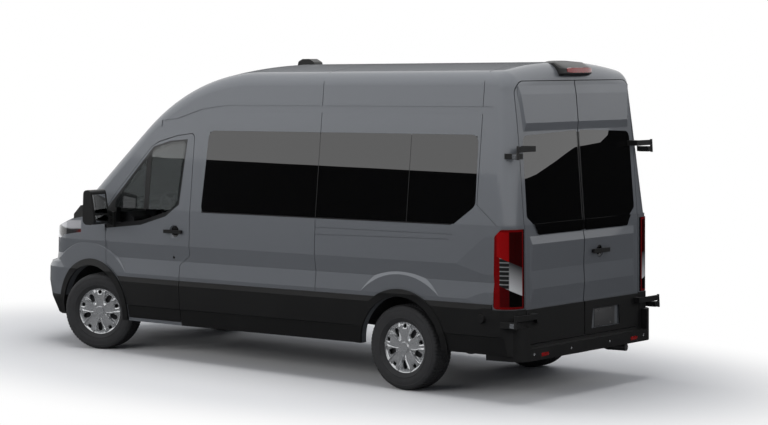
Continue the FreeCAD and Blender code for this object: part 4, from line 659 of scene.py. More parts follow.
def add_camera(lens):
    data = bpy.data.cameras.new("camera")
    data.sensor_width = 36.0
    data.lens = lens
    data.clip_end = 200.0
    camera = linked("camera", data)
    yaw, pitch = math.radians(CAMERA_YAW), math.radians(CAMERA_PITCH)
    view = Vector((math.cos(yaw) * math.cos(pitch), math.sin(yaw) * math.cos(pitch), math.sin(pitch)))
    spot = Matrix.Translation(Vector(CAMERA_SPOT) + Vector((AXLE.x, 0, 0)))
    roll = Matrix.Rotation(math.radians(-CAMERA_ROLL), 4, "Z")
    camera.matrix_world = spot @ view.to_track_quat("-Z", "Y").to_matrix().to_4x4() @ roll
    bpy.context.scene.camera = camera


def oblong(a0, a1, b0, b1):
    return [(a0, b0), (a1, b0), (a1, b1), (a0, b1)]


def eye_rays(tree):
    """1 for rays from the camera, off a shiny surface or through glass, and 0 for light on other surfaces."""
    paths = add_node(tree, "LightPath", {}).outputs
    bent = math_node(tree, "MAXIMUM", paths["Is Glossy Ray"], paths["Is Transmission Ray"])
    return math_node(tree, "MAXIMUM", paths["Is Camera Ray"], bent)


def add_floor():
    """A pale floor that fades to white by an oval about the vehicle."""
    corners = [(x, y, 0) for x, y in oblong(-FLOOR_HALF, FLOOR_HALF, -FLOOR_HALF, FLOOR_HALF)]
    plane = linked("floor_plane", plain_mesh("floor_plane", corners, [(0, 1, 2, 3)]))
    made, tree, shader = material("studio_floor")
    feed(tree, shader, {"Base Color": (0.8, 0.8, 0.8), "Roughness": 0.6})
    oval = add_node(tree, "VectorMath", {0: object_place(tree), 1: FLOOR_OVAL}, operation="DIVIDE").outputs[0]
    far = add_node(tree, "VectorMath", {0: oval}, operation="LENGTH").outputs["Value"]
    fade = ramp_node(tree, far, FADE_START, FADE_END, interpolation_type="SMOOTHSTEP")
    share = math_node(tree, "MULTIPLY", fade, eye_rays(tree))
    glow = add_node(tree, "Emission", {})
    mix = add_node(tree, "MixShader", {0: share, 1: shader.outputs[0], 2: glow.outputs[0]})
    feed(tree, tree.nodes["Material Output"], {"Surface": mix.outputs[0]})
    plane.data.materials.append(made)


def add_world():
    """White for the eye and in reflections, and a soft bluish light for the rest."""
    world = bpy.data.worlds.new("studio")
    bpy.context.scene.world = world
    world.use_nodes = True
    tree = world.node_tree
    base = feed(tree, tree.nodes["Background"], {"Color": SKY_COLOUR, "Strength": SKY_STRENGTH})
    white = add_node(tree, "Background", {"Color": (1.0, 1.0, 1.0), "Strength": 1.0})
    mix = add_node(tree, "MixShader", {0: eye_rays(tree), 1: base.outputs[0], 2: white.outputs[0]})
    feed(tree, tree.nodes["World Output"], {"Surface": mix.outputs[0]})


def add_softbox(name, spot, size, power):
    data = bpy.data.lights.new(name, "AREA")
    data.shape = "RECTANGLE"
    data.size, data.size_y = size
    data.energy = power
    lamp = linked(name, data)
    lamp.location = spot
    lamp.rotation_euler = (Vector((0, 0, 1.0)) - Vector(spot)).to_track_quat("-Z", "Y").to_euler()
    lamp.visible_glossy = False


def add_flag(name, corners):
    """A black card beside or under the vehicle that only reflections see."""
    card = linked(name, plain_mesh(name, corners, [tuple(range(len(corners)))]))
    made, tree, shader = material(name + "_cloth")
    feed(tree, shader, {"Base Color": (0.01, 0.01, 0.01), "Roughness": 1.0})
    card.data.materials.append(made)
    card.visible_camera = False
    card.visible_diffuse = False
    card.visible_shadow = False


class MINIBUS_OT_stage(bpy.types.Operator):
    """Sets up the pale floor, the soft studio light and the camera"""
    bl_idname = "minibus.stage"
    bl_label = "Stage"

    def execute(self, context):
        add_camera(context.scene.minibus_sizes.lens_mm)
        add_floor()
        add_world()
        for name, (spot, size, power) in SOFTBOXES.items():
            add_softbox(name, spot, size, power)
        add_flag("flag_left", [(x, CARD_Y, z) for x, z in oblong(-CARD_END, CARD_END, 0.0, CARD_TOP)])
        right = oblong(-CARD_END, CARD_END, 0.0, CARD_TOP)[:3] + CARD_EDGE
        add_flag("flag_right", [(x, -CARD_Y, z) for x, z in right])
        add_flag("flag_far", [(x, HIGH_CARD_Y, z) for x, z in oblong(*HIGH_CARD)])
        low = oblong(REAR_CARD_X, -REAR_CARD_X, -CARD_Y, CARD_Y)
        add_flag("flag_floor", [(x, y, LOW_CARD_Z) for x, y in low])
        add_flag("flag_rear", [(REAR_CARD_X, y, z) for y, z in REAR_CARD])
        context.scene.view_settings.view_transform = "Standard"
        return {"FINISHED"}


# Tyres

def wheel_matrix(corner):
    """From a wheel drawn about Z, outer face up, to its place beside the body."""
    joint = JOINTS["spin_" + corner]
    side = RIGHT if "right" in corner else LEFT
    axis = Vector(joint["axis"]) * side
    return Matrix.Translation(joint["pos_m"]) @ axis.to_track_quat("Z", "Y").to_matrix().to_4x4()


# Radius, half width and kind from the tread's middle to the bead
SIDE_WALL, TREAD, SHOULDER, GROOVE = 0, 1, 2, 3
TYRE_PROFILE = [
    (0.356, 0.000, TREAD), (0.356, 0.012, TREAD), (0.356, 0.016, GROOVE), (0.356, 0.024, GROOVE),
    (0.356, 0.028, TREAD), (0.3558, 0.047, TREAD), (0.3557, 0.051, GROOVE), (0.3556, 0.060, GROOVE),
    (0.3555, 0.064, TREAD), (0.354, 0.084, TREAD), (0.3515, 0.094, SHOULDER), (0.3465, 0.102, SHOULDER),
    (0.339, 0.107, SHOULDER), (0.330, 0.1105, SIDE_WALL), (0.318, 0.1135, SIDE_WALL),
    (0.3165, 0.1155, SIDE_WALL), (0.312, 0.1155, SIDE_WALL), (0.310, 0.1145, SIDE_WALL),
    (0.295, 0.1168, SIDE_WALL), (0.278, 0.1168, SIDE_WALL), (0.262, 0.1145, SIDE_WALL),
    (0.2535, 0.113, SIDE_WALL), (0.2515, 0.1150, SIDE_WALL), (0.247, 0.1148, SIDE_WALL),
    (0.2450, 0.1118, SIDE_WALL), (0.236, 0.107, SIDE_WALL), (0.227, 0.101, SIDE_WALL),
    (0.2205, 0.0945, SIDE_WALL), (0.2155, 0.0885, SIDE_WALL), (0.2095, 0.0835, SIDE_WALL),
]
STEPS_A_BLOCK = 4


def tyre_part(depth, pitches):
    """The carcass with four grooves round it, and blocks cut across the tread and its shoulders."""
    profile = [(r, -w, kind) for r, w, kind in reversed(TYRE_PROFILE[1:])] + TYRE_PROFILE
    steps = pitches * STEPS_A_BLOCK
    verts = []
    for k, a in enumerate(circle(steps)):
        cut = k % STEPS_A_BLOCK == 0
        for r, w, kind in profile:
            if kind == GROOVE:
                r -= depth
            elif cut and kind in (TREAD, SHOULDER) and abs(w) > 0.03:
                r -= depth * 0.8
            elif cut and kind == TREAD:
                r -= depth * 0.4
            verts.append(Vector((r * math.cos(a), r * math.sin(a), w)))
    return verts, quads(steps, len(profile), closed=True)


class MINIBUS_OT_tyres(bpy.types.Operator):
    """Models the four tyres with their tread and side walls"""
    bl_idname = "minibus.tyres"
    bl_label = "Tyres"

    def execute(self, context):
        sizes = context.scene.minibus_sizes
        part = tyre_part(sizes.tread_depth, sizes.tread_pitches)
        for corner in CORNERS:
            tread = moved(part, wheel_matrix(corner))
            piece = row_piece("tyre_tread_" + corner, tread, "tyre", "wheel_" + corner)
            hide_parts("tyre_" + corner)
        return {"FINISHED"}


# Wheel covers

COVER_R = 0.2180
COVER_RINGS = 34
COVER_STEPS = 300
COVER_FACE = 0.088
COVER_WALL = 0.014
POCKET_R = 0.206
NUT_RING_R = 0.08

# Two sets of five holes: the first one's direction, its middle's radius, and half its length and width
HOLE_SETS = ((54.0, 0.145, 0.039, 0.0235), (90.0, 0.180, 0.018, 0.0185))


def eased(value, low, high):
    t = max(0.0, min(1.0, (value - low) / (high - low)))
    return t * t * (3.0 - 2.0 * t)


def fold(angle_deg, first):
    """Angle from the nearest of five directions that start at first."""
    return (angle_deg - first + 36.0) % 72.0 - 36.0


def cover_height(r, angle_deg, rib):
    """Height of the cover's face: a shallow dish, pockets and ribs round the long holes, and the cap."""
    height = COVER_FACE - 0.008 * eased(r, 0.17, COVER_R) - 0.004 * eased(0.11 - r, 0.0, 0.06)
    away = abs(fold(angle_deg, 54.0))
    reach = 9.0 + 8.5 * eased(r, 0.07, 0.2)
    pocket = eased(reach - away, 0.0, 3.5) * eased(r, 0.068, 0.095) * eased(POCKET_R - r, 0.0, 0.010)
    height -= 0.014 * pocket
    ridge = math.exp(-((away - reach - 0.8) / 1.9) ** 2) * eased(r, 0.06, 0.09)
    ridge *= eased(0.212 - r, 0.0, 0.02)
    height += rib * 0.75 * ridge
    near = abs(fold(angle_deg, 90.0))
    pad = eased(8.5 - near, 0.0, 2.5) * eased(r, 0.155, 0.168) * eased(POCKET_R - r, 0.0, 0.006)
    height -= 0.005 * pad
    cap = eased(0.047 - r, 0.0, 0.004)
    height += 0.010 * cap + 0.002 * math.exp(-((r - 0.037) / 0.003) ** 2)
    height += 0.006 * math.exp(-((r - 0.211) / 0.005) ** 2)
    return height


def hole_edge(x, y):
    """How far out in the nearest hole a point lies, 1 on the outline, and the outline's point that way."""
    best = (9.0, (x, y))
    for first, middle, half_long, half_wide in HOLE_SETS:
        for k in range(5):
            a = math.radians(first + 72.0 * k)
            dx, dy = x - middle * math.cos(a), y - middle * math.sin(a)
            along = dx * math.cos(a) + dy * math.sin(a)
            across = -dx * math.sin(a) + dy * math.cos(a)
            share = (abs(along / half_long) ** 2.6 + abs(across / half_wide) ** 2.6) ** (1 / 2.6)
            if share < best[0]:
                scale = 1.0 / max(share, 1e-6)
                along, across = along * scale, across * scale
                edge = (middle * math.cos(a) + along * math.cos(a) - across * math.sin(a),
                        middle * math.sin(a) + along * math.sin(a) + across * math.cos(a))
                best = (share, edge)
    return best


def cover_part(rib):
    """The cover as a grid of rings, cut along the holes, with walls that go in at every edge."""
    work = bmesh.new()
    rings = []
    for i in range(COVER_RINGS + 1):
        r = 0.004 + (COVER_R - 0.004) * i / COVER_RINGS
        ring = []
        for k in range(COVER_STEPS):
            a = 360.0 * k / COVER_STEPS
            x, y = r * math.cos(math.radians(a)), r * math.sin(math.radians(a))
            ring.append(work.verts.new((x, y, 0.0)))
        rings.append(ring)
    work.faces.new(rings[0])
    for i in range(COVER_RINGS):
        for k in range(COVER_STEPS):
            m = (k + 1) % COVER_STEPS
            work.faces.new((rings[i][k], rings[i + 1][k], rings[i + 1][m], rings[i][m]))
    gone = [f for f in work.faces if hole_edge(*f.calc_center_median().xy)[0] < 1.0]
    bmesh.ops.delete(work, geom=gone, context="FACES")
    outer = COVER_R - 1e-5
    for v in work.verts:
        if v.is_boundary and v.co.xy.length < outer:
            edge = hole_edge(v.co.x, v.co.y)[1]
            v.co.x, v.co.y = edge
    for v in work.verts:
        angle = math.degrees(math.atan2(v.co.y, v.co.x))
        v.co.z = cover_height(v.co.xy.length, angle, rib)
    rim = [e for e in work.edges if e.is_boundary]
    walls = bmesh.ops.extrude_edge_only(work, edges=rim)["geom"]
    for v in walls:
        if isinstance(v, bmesh.types.BMVert):
            v.co.z -= COVER_WALL
    return form_of(work)


def wheel_dish():
    """The steel wheel behind the cover, its barrel and the nuts on its disc."""
    barrel = turned([(0.205, 0.083), (0.2085, 0.083), (0.2085, -0.083), (0.203, -0.083), (0.196, -0.074),
                     (0.190, -0.05), (0.186, 0.03), (0.196, 0.06)], 72, closed=True)
    disc = turned([(0.0, 0.052), (0.066, 0.052), (0.09, 0.046), (0.15, 0.05), (0.187, 0.035), (0.187, 0.029),
                   (0.15, 0.044), (0.09, 0.04), (0.0, 0.046)], 60)
    nut = turned([(0.0, 0.062), (0.009, 0.062), (0.0105, 0.058), (0.0105, 0.05)], 6)
    ring = [(NUT_RING_R * math.cos(a), NUT_RING_R * math.sin(a), 0.002) for a in circle(5)]
    return joined([barrel, disc] + [moved(nut, Matrix.Translation(spot)) for spot in ring])


class MINIBUS_OT_wheels(bpy.types.Operator):
    """Models the four wheels with their covers"""
    bl_idname = "minibus.wheels"
    bl_label = "Wheels"

    def execute(self, context):
        cover = cover_part(context.scene.minibus_sizes.rib_height)
        dish = wheel_dish()
        for corner in CORNERS:
            place = wheel_matrix(corner)
            body = "wheel_" + corner
            piece = row_piece("wheel_cover_" + corner, moved(cover, place), "cover", body)
            back = row_piece("wheel_dish_" + corner, moved(dish, place), "steel", body)
            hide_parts("rim_" + corner)
            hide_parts("rim_" + corner)
        return {"FINISHED"}


# Places on the frame's surfaces

TREES = {}


def touch(node, start, way):
    """Where a ray, given in the body's own frame, meets a frame piece: the point and the direction back."""
    if node not in TREES:
        mesh = NODES[node].data
        TREES[node] = BVHTree.FromPolygons([v.co for v in mesh.vertices], [p.vertices for p in mesh.polygons])
    aim = (BODY.to_3x3() @ Vector(way)).normalized()
    spot, normal = TREES[node].ray_cast(BODY @ Vector(start), aim)[:2]
    if spot is None:
        raise RuntimeError("the ray meets nothing of " + node)
    if normal.dot(aim) > 0:
        normal = -normal
    return spot, normal


def seat_on(node, start, way, lift=0.0):
    """A matrix that stands a piece drawn about Z, base at nought, on a frame piece's surface."""
    spot, normal = touch(node, start, way)
    return Matrix.Translation(spot + normal * lift) @ normal.to_track_quat("Z", "Y").to_matrix().to_4x4()


def from_side(node, side, x, z, lift=0.0):
    return seat_on(node, (x, 3.0 * side, z), (0, -side, 0), lift)


def from_rear(node, y, z, lift=0.0):
    return seat_on(node, (-8.0, y, z), (1, 0, 0), lift)


def button(radius, height, edge=0.002, steps=28):
    """A round boss that stands on z = 0, its upper edge rounded off."""
    upper = [(radius, height - edge), (radius - 0.3 * edge, height - 0.3 * edge), (radius - edge, height)]
    return turned([(0.0, 0.0), (radius, 0.0)] + upper + [(0.0, height)], steps)


def bolt_head(radius):
    collar = 1.25 * radius
    return turned([(0.0, 0.0), (collar, 0.0), (collar, 0.0015), (radius, 0.002), (radius, 0.006),
                   (0.8 * radius, 0.0075), (0.0, 0.0075)], 6)


# Seats

SEAT_NODES = {"front_seats": "front", "rear_seats": "rear"}
CUSHION_TILT = math.atan2(0.03, 0.52)
BACK_TILT = math.atan2(0.13, 0.69)
FLIP = Matrix.Rotation(math.pi, 4, "Z")
PAD_CAP = 0.014
CLOTH_STEPS = 20

# The pads' lengths and thicknesses, how much narrower than the seat they are, and their seams
CUSHION_LONG, CUSHION_THICK, CUSHION_SEAMS = 0.48, 0.105, (-0.02,)
BACK_LONG, BACK_THICK, BACK_SEAMS = 0.66, 0.095, (-0.12, 0.16)
REST_SIZE = (0.15, 0.25, 0.085)
PAD_MARGIN = 0.03
SIDE_SEAM, SIDE_SEAM_DEPTH, CROSS_SEAM_DEPTH = 0.105, 0.012, 0.009

# A seat's middle behind its front edge, and the pads' places from the middle and the floor
SEAT_BEHIND, CUSHION_Z = 0.26, 0.407
BACK_X, BACK_Z = -0.252, 0.765
REST_X, REST_Z = -0.322, 1.075


def islands(node):
    """The boxes of a frame piece's separate solids in the body's own frame."""
    mesh = NODES[node].data
    leader = list(range(len(mesh.vertices)))
    places = {}

    def head(i):
        while leader[i] != i:
            leader[i] = leader[leader[i]]
            i = leader[i]
        return i

    for v in mesh.vertices:
        key = tuple(round(c, 5) for c in v.co)
        if key in places:
            leader[head(v.index)] = head(places[key])
        else:
            places[key] = v.index
    for poly in mesh.polygons:
        first = head(poly.vertices[0])
        for i in poly.vertices[1:]:
            leader[head(i)] = first
    back = BODY.inverted()
    boxes = {}
    for v in mesh.vertices:
        p = back @ v.co
        low, high = boxes.setdefault(head(v.index), (p.copy(), p.copy()))
        for i in range(3):
            low[i] = min(low[i], p[i])
            high[i] = max(high[i], p[i])
    return sorted(boxes.values(), key=lambda b: (-b[0].x, -b[0].y))


def worked_form(name, part, work):
    """The mesh that a part becomes once work has added modifiers to it."""
    piece = linked(name, plain_mesh(name, *part))
    work(piece)
    made = piece.evaluated_get(bpy.context.evaluated_depsgraph_get()).to_mesh()
    form = [v.co.copy() for v in made.vertices], [tuple(p.vertices) for p in made.polygons]
    bpy.data.objects.remove(piece)
    return form


def pad_form(size, crown, voxel):
    """A block with round edges and an even mesh, its faces crowned, its sides drawn in between corners."""
    def even(form):
        remesh = form.modifiers.new("even", "REMESH")
        remesh.mode = "VOXEL"
        remesh.voxel_size = voxel
        bpy.context.view_layer.update()

    verts, faces = worked_form("pad_form", bevelled_block(size, 0.32 * min(size), 4), even)
    half = Vector(size) * 0.5
    for v in verts:
        u, w = v.x / half.x, v.y / half.y
        v.z += crown * (1.0 - u * u) * (1.0 - w * w) * (1.0 if v.z > 0 else -0.3)
        v.x -= 0.010 * u * (1.0 - w * w)
        v.y -= 0.010 * w * (1.0 - u * u)
    return verts, faces


def blown(part):
    """The pad once its cover is drawn over the foam: a cloth under a little pressure, its travel capped."""

    def draw_over(pad):
        cloth = pad.modifiers.new("cover", "CLOTH")
        cloth.settings.use_pressure = True
        cloth.settings.uniform_pressure_force = 4.0
        cloth.settings.effector_weights.gravity = 0.0
        cloth.settings.quality = 4
        for step in range(1, CLOTH_STEPS + 1):
            bpy.context.scene.frame_set(step)

    verts, faces = part
    out = []
    for v, w in zip(verts, worked_form("pad_cloth", part, draw_over)[0]):
        step = w - v
        if step.length > PAD_CAP:
            step = step.normalized() * PAD_CAP
        out.append(v + step)
    bpy.context.scene.frame_set(1)
    return out, faces


def sewn(part, lines):
    """Draws a pad's upper face in along its seams: lines are (axis, place, depth)."""
    verts, faces = part
    top = max(v.z for v in verts)
    out = []
    for v in verts:
        p = v.copy()
        share = eased(p.z, 0.0, 0.6 * top)
        for axis, place, depth in lines:
            p.z -= depth * share * math.exp(-((p[axis] - place) / 0.011) ** 2)
        out.append(p)
    return out, faces


def seat_pads(width, voxel):
    """Cushion and back pad of one seat width, drawn flat about the origin."""
    cushion = pad_form((CUSHION_LONG, width - PAD_MARGIN, CUSHION_THICK), 0.012, voxel)
    back = pad_form((BACK_LONG, width - PAD_MARGIN, BACK_THICK), 0.010, voxel)
    side = 0.5 * width - SIDE_SEAM
    lines = [(1, side, SIDE_SEAM_DEPTH), (1, -side, SIDE_SEAM_DEPTH)]
    cushion = sewn(blown(cushion), lines + [(0, x, CROSS_SEAM_DEPTH) for x in CUSHION_SEAMS])
    back = sewn(blown(back), lines + [(0, x, CROSS_SEAM_DEPTH) for x in BACK_SEAMS])
    return cushion, back


def seat_hardware(x, y, z, width, first):
    """Pedestal, back shell, runners, side shields and headrest posts of a seat, and a front seat's lever."""
    half = 0.5 * width
    parts = [block(x - 0.19, x + 0.19, y - half + 0.07, y + half - 0.07, z + 0.001, z + 0.33, 0.02),
             moved(block(-0.012, 0.012, -half + 0.03, half - 0.03, -0.33, 0.31, 0.008),
                   Matrix.Translation((x - 0.318, y, z + 0.77)) @ Matrix.Rotation(-BACK_TILT, 4, "Y"))]
    for s in (LEFT, RIGHT):
        rail = y + s * (half - 0.10)
        shield = y + s * (half - 0.012)
        post = y + s * 0.07
        parts.append(block(x - 0.24, x + 0.24, rail - 0.02, rail + 0.02, z + 0.001, z + 0.03, 0.004))
        parts.append(block(x - 0.235, x + 0.16, shield - 0.010, shield + 0.010, z + 0.30, z + 0.40, 0.008))
        parts.append(tube([(x - 0.315, post, z + 1.05), (x - 0.335, post, z + 1.16)], 0.006, 8))
    if first:
        parts.append(tube([(x + 0.14, y - 0.16, z + 0.34), (x + 0.255, y - 0.15, z + 0.325),
                           (x + 0.255, y + 0.15, z + 0.325), (x + 0.14, y + 0.16, z + 0.34)], 0.007, 8))
    return joined(parts)


class MINIBUS_OT_seats(bpy.types.Operator):
    """Makes the padded seats of the cabin and their frames"""
    bl_idname = "minibus.seats"
    bl_label = "Seats"

    def execute(self, context):
        voxel = context.scene.minibus_sizes.pad_voxel
        rest_form = pad_form(REST_SIZE, 0.006, 0.012)
        for node, label in SEAT_NODES.items():
            rows = {}
            for low, high in islands(node):
                rows.setdefault(round(low.x, 1), []).append((low, high))
            hardware = []
            pads = {}
            for count, key in enumerate(sorted(rows, reverse=True)):
                cushions, backs, rests = [], [], []
                for low, high in rows[key]:
                    width = round(high.y - low.y, 3)
                    if width not in pads:
                        pads[width] = seat_pads(width, voxel * (0.7 if label == "front" else 1.0))
                    x, y, z = high.x - SEAT_BEHIND, 0.5 * (low.y + high.y), low.z
                    flat = Matrix.Rotation(-CUSHION_TILT, 4, "Y")
                    place = Matrix.Translation((x, y, z + CUSHION_Z)) @ flat
                    cushions.append(moved(pads[width][0], place))
                    upright = Matrix.Rotation(0.5 * math.pi - BACK_TILT, 4, "Y")
                    place = Matrix.Translation((x + BACK_X, y, z + BACK_Z)) @ upright.inverted() @ FLIP
                    backs.append(moved(pads[width][1], place))
                    place = Matrix.Translation((x + REST_X, y, z + REST_Z)) @ upright.inverted() @ FLIP
                    rests.append(moved(rest_form, place))
                    hardware.append(seat_hardware(x, y, z, width, label == "front"))
                tag = "_%s_%d" % (label, count + 1)
                for kind, group_parts, fill in (("cushion", cushions, 0.7), ("back", backs, 0.7),
                                                ("headrest", rests, 0.8)):
                    piece = body_piece("seat_" + kind + tag, joined(group_parts), "cloth")
                    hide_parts(node)
            frame_piece = body_piece("seat_frames_" + label, joined(hardware), "cabin")
            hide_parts(node)
        return {"FINISHED"}


# Cabin

def shaft_frame():
    """The steering wheel's place: Z along its axis towards the driver, in the row's frame."""
    joint = next(j for j in frame["joints"] if j["child"] == "steering_wheel")
    axis = Vector(joint["axis"])
    if axis.x > 0:
        axis = -axis
    low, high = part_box("steering_wheel")
    centre = Vector(joint["pos_m"])
    middle = 0.5 * (Vector(low) + Vector(high))
    centre += axis * axis.dot(middle - centre)
    side = Vector((0.0, 1.0, 0.0))
    up = axis.cross(side)
    turn = Matrix((side, up, axis)).transposed().to_4x4()
    return Matrix.Translation(centre) @ turn


# The steering wheel's rim, and the directions of its spokes
RIM_R, RIM_TUBE_R = 0.190, 0.0145
SPOKES = (8.0, 172.0, 250.0, 290.0)


def steering_part():
    rim = [(RIM_R * math.cos(a), RIM_R * math.sin(a), 0.0) for a in circle(72)]
    parts = [tube(rim + rim[:1], RIM_TUBE_R, 14)]
    parts.append(turned([(0.0, 0.016), (0.045, 0.014), (0.066, 0.006), (0.072, -0.006), (0.066, -0.028),
                         (0.03, -0.045), (0.0, -0.045)], 40))
    for turn in SPOKES:
        a = math.radians(turn)
        spoke = block(0.055, 0.184, -0.017, 0.017, -0.016, -0.002, 0.005)
        parts.append(moved(spoke, Matrix.Rotation(a, 4, "Z")))
    return joined(parts)


def lining_part(node, x_range, y_range, counts, gap):
    """A sheet under the roof that follows its inner face; gaps are left where the roof has none."""
    verts, faces, index = [], [], {}
    nx, ny = counts
    for i in range(nx + 1):
        for j in range(ny + 1):
            x = x_range[0] + (x_range[1] - x_range[0]) * i / nx
            y = y_range[0] + (y_range[1] - y_range[0]) * j / ny
            try:
                spot = touch(node, (x, y, 1.5), (0, 0, 1))[0]
            except RuntimeError:
                continue
            index[(i, j)] = len(verts)
            verts.append(spot - Vector((0, 0, gap)))
    for i in range(nx):
        for j in range(ny):
            ring = [(i, j), (i + 1, j), (i + 1, j + 1), (i, j + 1)]
            if all(c in index for c in ring):
                faces.append(tuple(index[c] for c in ring))
    return verts, faces


class MINIBUS_OT_cabin(bpy.types.Operator):
    """Fits the steering wheel, the dashboard's parts, the roof lining, the floor covering and the belts"""
    bl_idname = "minibus.cabin"
    bl_label = "Cabin"

    def execute(self, context):
        part = steering_part()
        piece = row_piece("steering_wheel_rim", moved(part, shaft_frame()), "cabin", "steering_wheel")
        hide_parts("steering_wheel")
        lining = lining_part("roof", (-4.55, -0.75), (-0.82, 0.82), (60, 30), 0.004)
        row_piece("roof_lining", lining, "lining")
        body_piece("floor_covering", block(-4.75, -0.62, -0.50, 0.50, 0.6405, 0.6455, 0.002), "carpet")
        self.dashboard()
        self.belts()
        return {"FINISHED"}

    def dashboard(self):
        low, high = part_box("dashboard")
        top = (BODY.inverted() @ Vector((low[0], 0, high[2]))).z
        desk = -0.43
        parts = [block(desk - 0.035, desk + 0.09, 0.27, 0.60, 1.235, top + 0.045, 0.02, 3),
                 block(desk - 0.03, desk + 0.02, -0.15, 0.15, 1.14, 1.29, 0.012, 3),
                 block(desk - 0.07, desk + 0.02, -0.17, 0.17, 0.86, 1.10, 0.03, 3)]
        body_piece("dash_mouldings", joined(parts), "cabin")
        glassy = [block(desk - 0.0345, desk - 0.030, -0.135, 0.135, 1.155, 1.275, 0.002),
                  block(desk - 0.040, desk - 0.033, 0.30, 0.57, 1.25, 1.318, 0.003)]
        body_piece("dash_screens", joined(glassy), "black")
        vents = []
        for y in (0.78, 0.20, -0.20, -0.78):
            for k in range(5):
                z = 1.165 + 0.014 * k
                vents.append(block(desk - 0.012, desk + 0.004, y - 0.045, y + 0.045, z, z + 0.004, 0.001, 1))
        body_piece("dash_vents", joined(vents), "black")

    def belts(self):
        straps, hard = [], []
        for side in (LEFT, RIGHT):
            foot = Vector((-1.27, side * 0.86, 0.80))
            head = Vector((-1.30, side * 0.83, 1.78))
            across = Vector((0.024, 0, 0))
            lift = Vector((0, -side * 0.0015, 0))
            band = [head - across, head + across, foot + across, foot - across]
            straps.append(lofted([band, [v + lift for v in band]]))
            hard.append(block(head.x - 0.035, head.x + 0.035, head.y - 0.012, head.y + 0.012, head.z - 0.015,
                              head.z + 0.03, 0.006))
            hard.append(block(foot.x - 0.03, foot.x + 0.03, foot.y - 0.02, foot.y + 0.02, foot.z - 0.10,
                              foot.z + 0.01, 0.006))
        body_piece("belt_straps", joined(straps), "cloth", smooth=False)
        body_piece("belt_fittings", joined(hard), "cabin")


# Front and side fittings

def cup_shade_dish(radius, depth):
    """A dished round plate that lies in a handle's cup, where its black finish paints the shade in the
    recess.
    """
    return turned([(0.0, 0.0), (0.62 * radius, 0.0), (0.85 * radius, 0.15 * depth), (radius, 0.55 * depth),
                   (radius, 0.55 * depth + 0.001), (0.84 * radius, 0.15 * depth + 0.0015),
                   (0.6 * radius, 0.0015), (0.0, 0.0015)], 40)


# Where each wiper's blade starts, above its pivot, and ends across the windscreen
WIPERS = ((0.62, 0.08), (-0.10, -0.62))

# Each mirror's two glasses: the height of the middle and the size
MIRROR_Y = 1.158
MIRROR_GLASS = {"mirror_glass_": (1.38, (0.155, 0.175, 0.005)),
                "mirror_wide_glass_": (1.245, (0.150, 0.062, 0.005))}
MIRROR_LAMP_Y, MIRROR_LAMP_Z, MIRROR_LAMP_SIZE = 1.21, 1.235, (0.062, 0.028, 0.012)

# The front doors' handle cup, and the lock on the left door, in the body's frame
HANDLE_X, HANDLE_Z, HANDLE_CUP_R, HANDLE_CUP_DEPTH = -1.14, 1.15, 0.058, 0.017
LOCK_X, LOCK_Z = -1.125, 0.915


class MINIBUS_OT_front(bpy.types.Operator):
    """Fits the wipers, the mirrors' glass and lamps, black dishes of painted shade in the handle cups, and
    the door's lock
    """
    bl_idname = "minibus.front"
    bl_label = "Front and doors"

    def execute(self, context):
        self.wipers()
        for side, label in SIDES:
            self.mirror(side, label)
            door = "front_door_" + label
            place = from_side(door, side, HANDLE_X, HANDLE_Z, 0.001)
            # A black dish in the handle's cup: painted shade in the recess
            cup = moved(cup_shade_dish(HANDLE_CUP_R, HANDLE_CUP_DEPTH), place)
            row_piece("handle_cup_shade_" + label, cup, "black", "door_front_" + label)
        lock = joined([button(0.012, 0.003), moved(button(0.008, 0.0045), Matrix.Translation((0, 0, 0.001)))])
        place = from_side("front_door_left", LEFT, LOCK_X, LOCK_Z)
        row_piece("door_lock", moved(lock, place), "black", "door_front_left")
        return {"FINISHED"}

    def wipers(self):
        blades, arms = [], []
        for start, end in WIPERS:
            points, spine = [], []
            for k in range(15):
                y = start + (end - start) * k / 14
                x = 0.215 - 0.05 * (y / 0.8) ** 2 - 0.02 * k / 14
                spot, normal = touch("windscreen", (x, y, 2.6), (0, 0, -1))
                points.append(spot + normal * 0.006)
                spine.append(spot + normal * 0.015)
            blades.append(tube(points, 0.004, 8))
            arms.append(tube(spine, 0.0055, 8))
            pivot = touch("cowl", (0.300, start + 0.02, 2.6), (0, 0, -1))[0]
            middle = spine[7]
            knee = pivot.lerp(middle, 0.35) + Vector((0, 0, 0.012))
            bend = [pivot, pivot + Vector((0, 0, 0.014)), knee, middle + Vector((0, 0, 0.004))]
            arms.append(tube(bend, 0.006, 8))
            arms.append(moved(button(0.016, 0.016, 0.004), Matrix.Translation(pivot)))
        row_piece("wiper_blades", joined(blades), "tyre")
        row_piece("wiper_arms", joined(arms), "trim")

    def mirror(self, side, label):
        node = "mirror_" + label
        body = "door_front_" + label
        for name, (z, size) in MIRROR_GLASS.items():
            place = seat_on(node, (-3.0, side * MIRROR_Y, z), (1, 0, 0), 0.0015)
            row_piece(name + label, moved(bevelled_block(size, 0.002, 2), place), "mirror", body)
        place = seat_on(node, (3.0, side * MIRROR_LAMP_Y, MIRROR_LAMP_Z), (-1, 0, 0))
        lamp = moved(bevelled_block(MIRROR_LAMP_SIZE, 0.005, 3), place)
        row_piece("mirror_lamp_" + label, lamp, "amber", body)


# Rear fittings

PLATE_Y, PLATE_Z = -0.318, 0.507
PLATE_SIZE = (0.305, 0.152, 0.002)
PLATE_PANEL_SIZE = (0.40, 0.158, 0.004)
REFLECTOR_Y, REFLECTOR_Z, REFLECTOR_SUNK = (0.65, -0.65), 0.295, 0.0048
REFLECTOR_SIZE = (0.105, 0.034, 0.010)
REAR_HANDLE_Y, REAR_HANDLE_Z, REAR_CUP_R, REAR_CUP_DEPTH = -0.225, 1.07, 0.055, 0.02
SENSOR_Y, SENSOR_Z, SENSOR_SUNK = (0.80, 0.28, -0.28, -0.80), 0.305, 0.0028


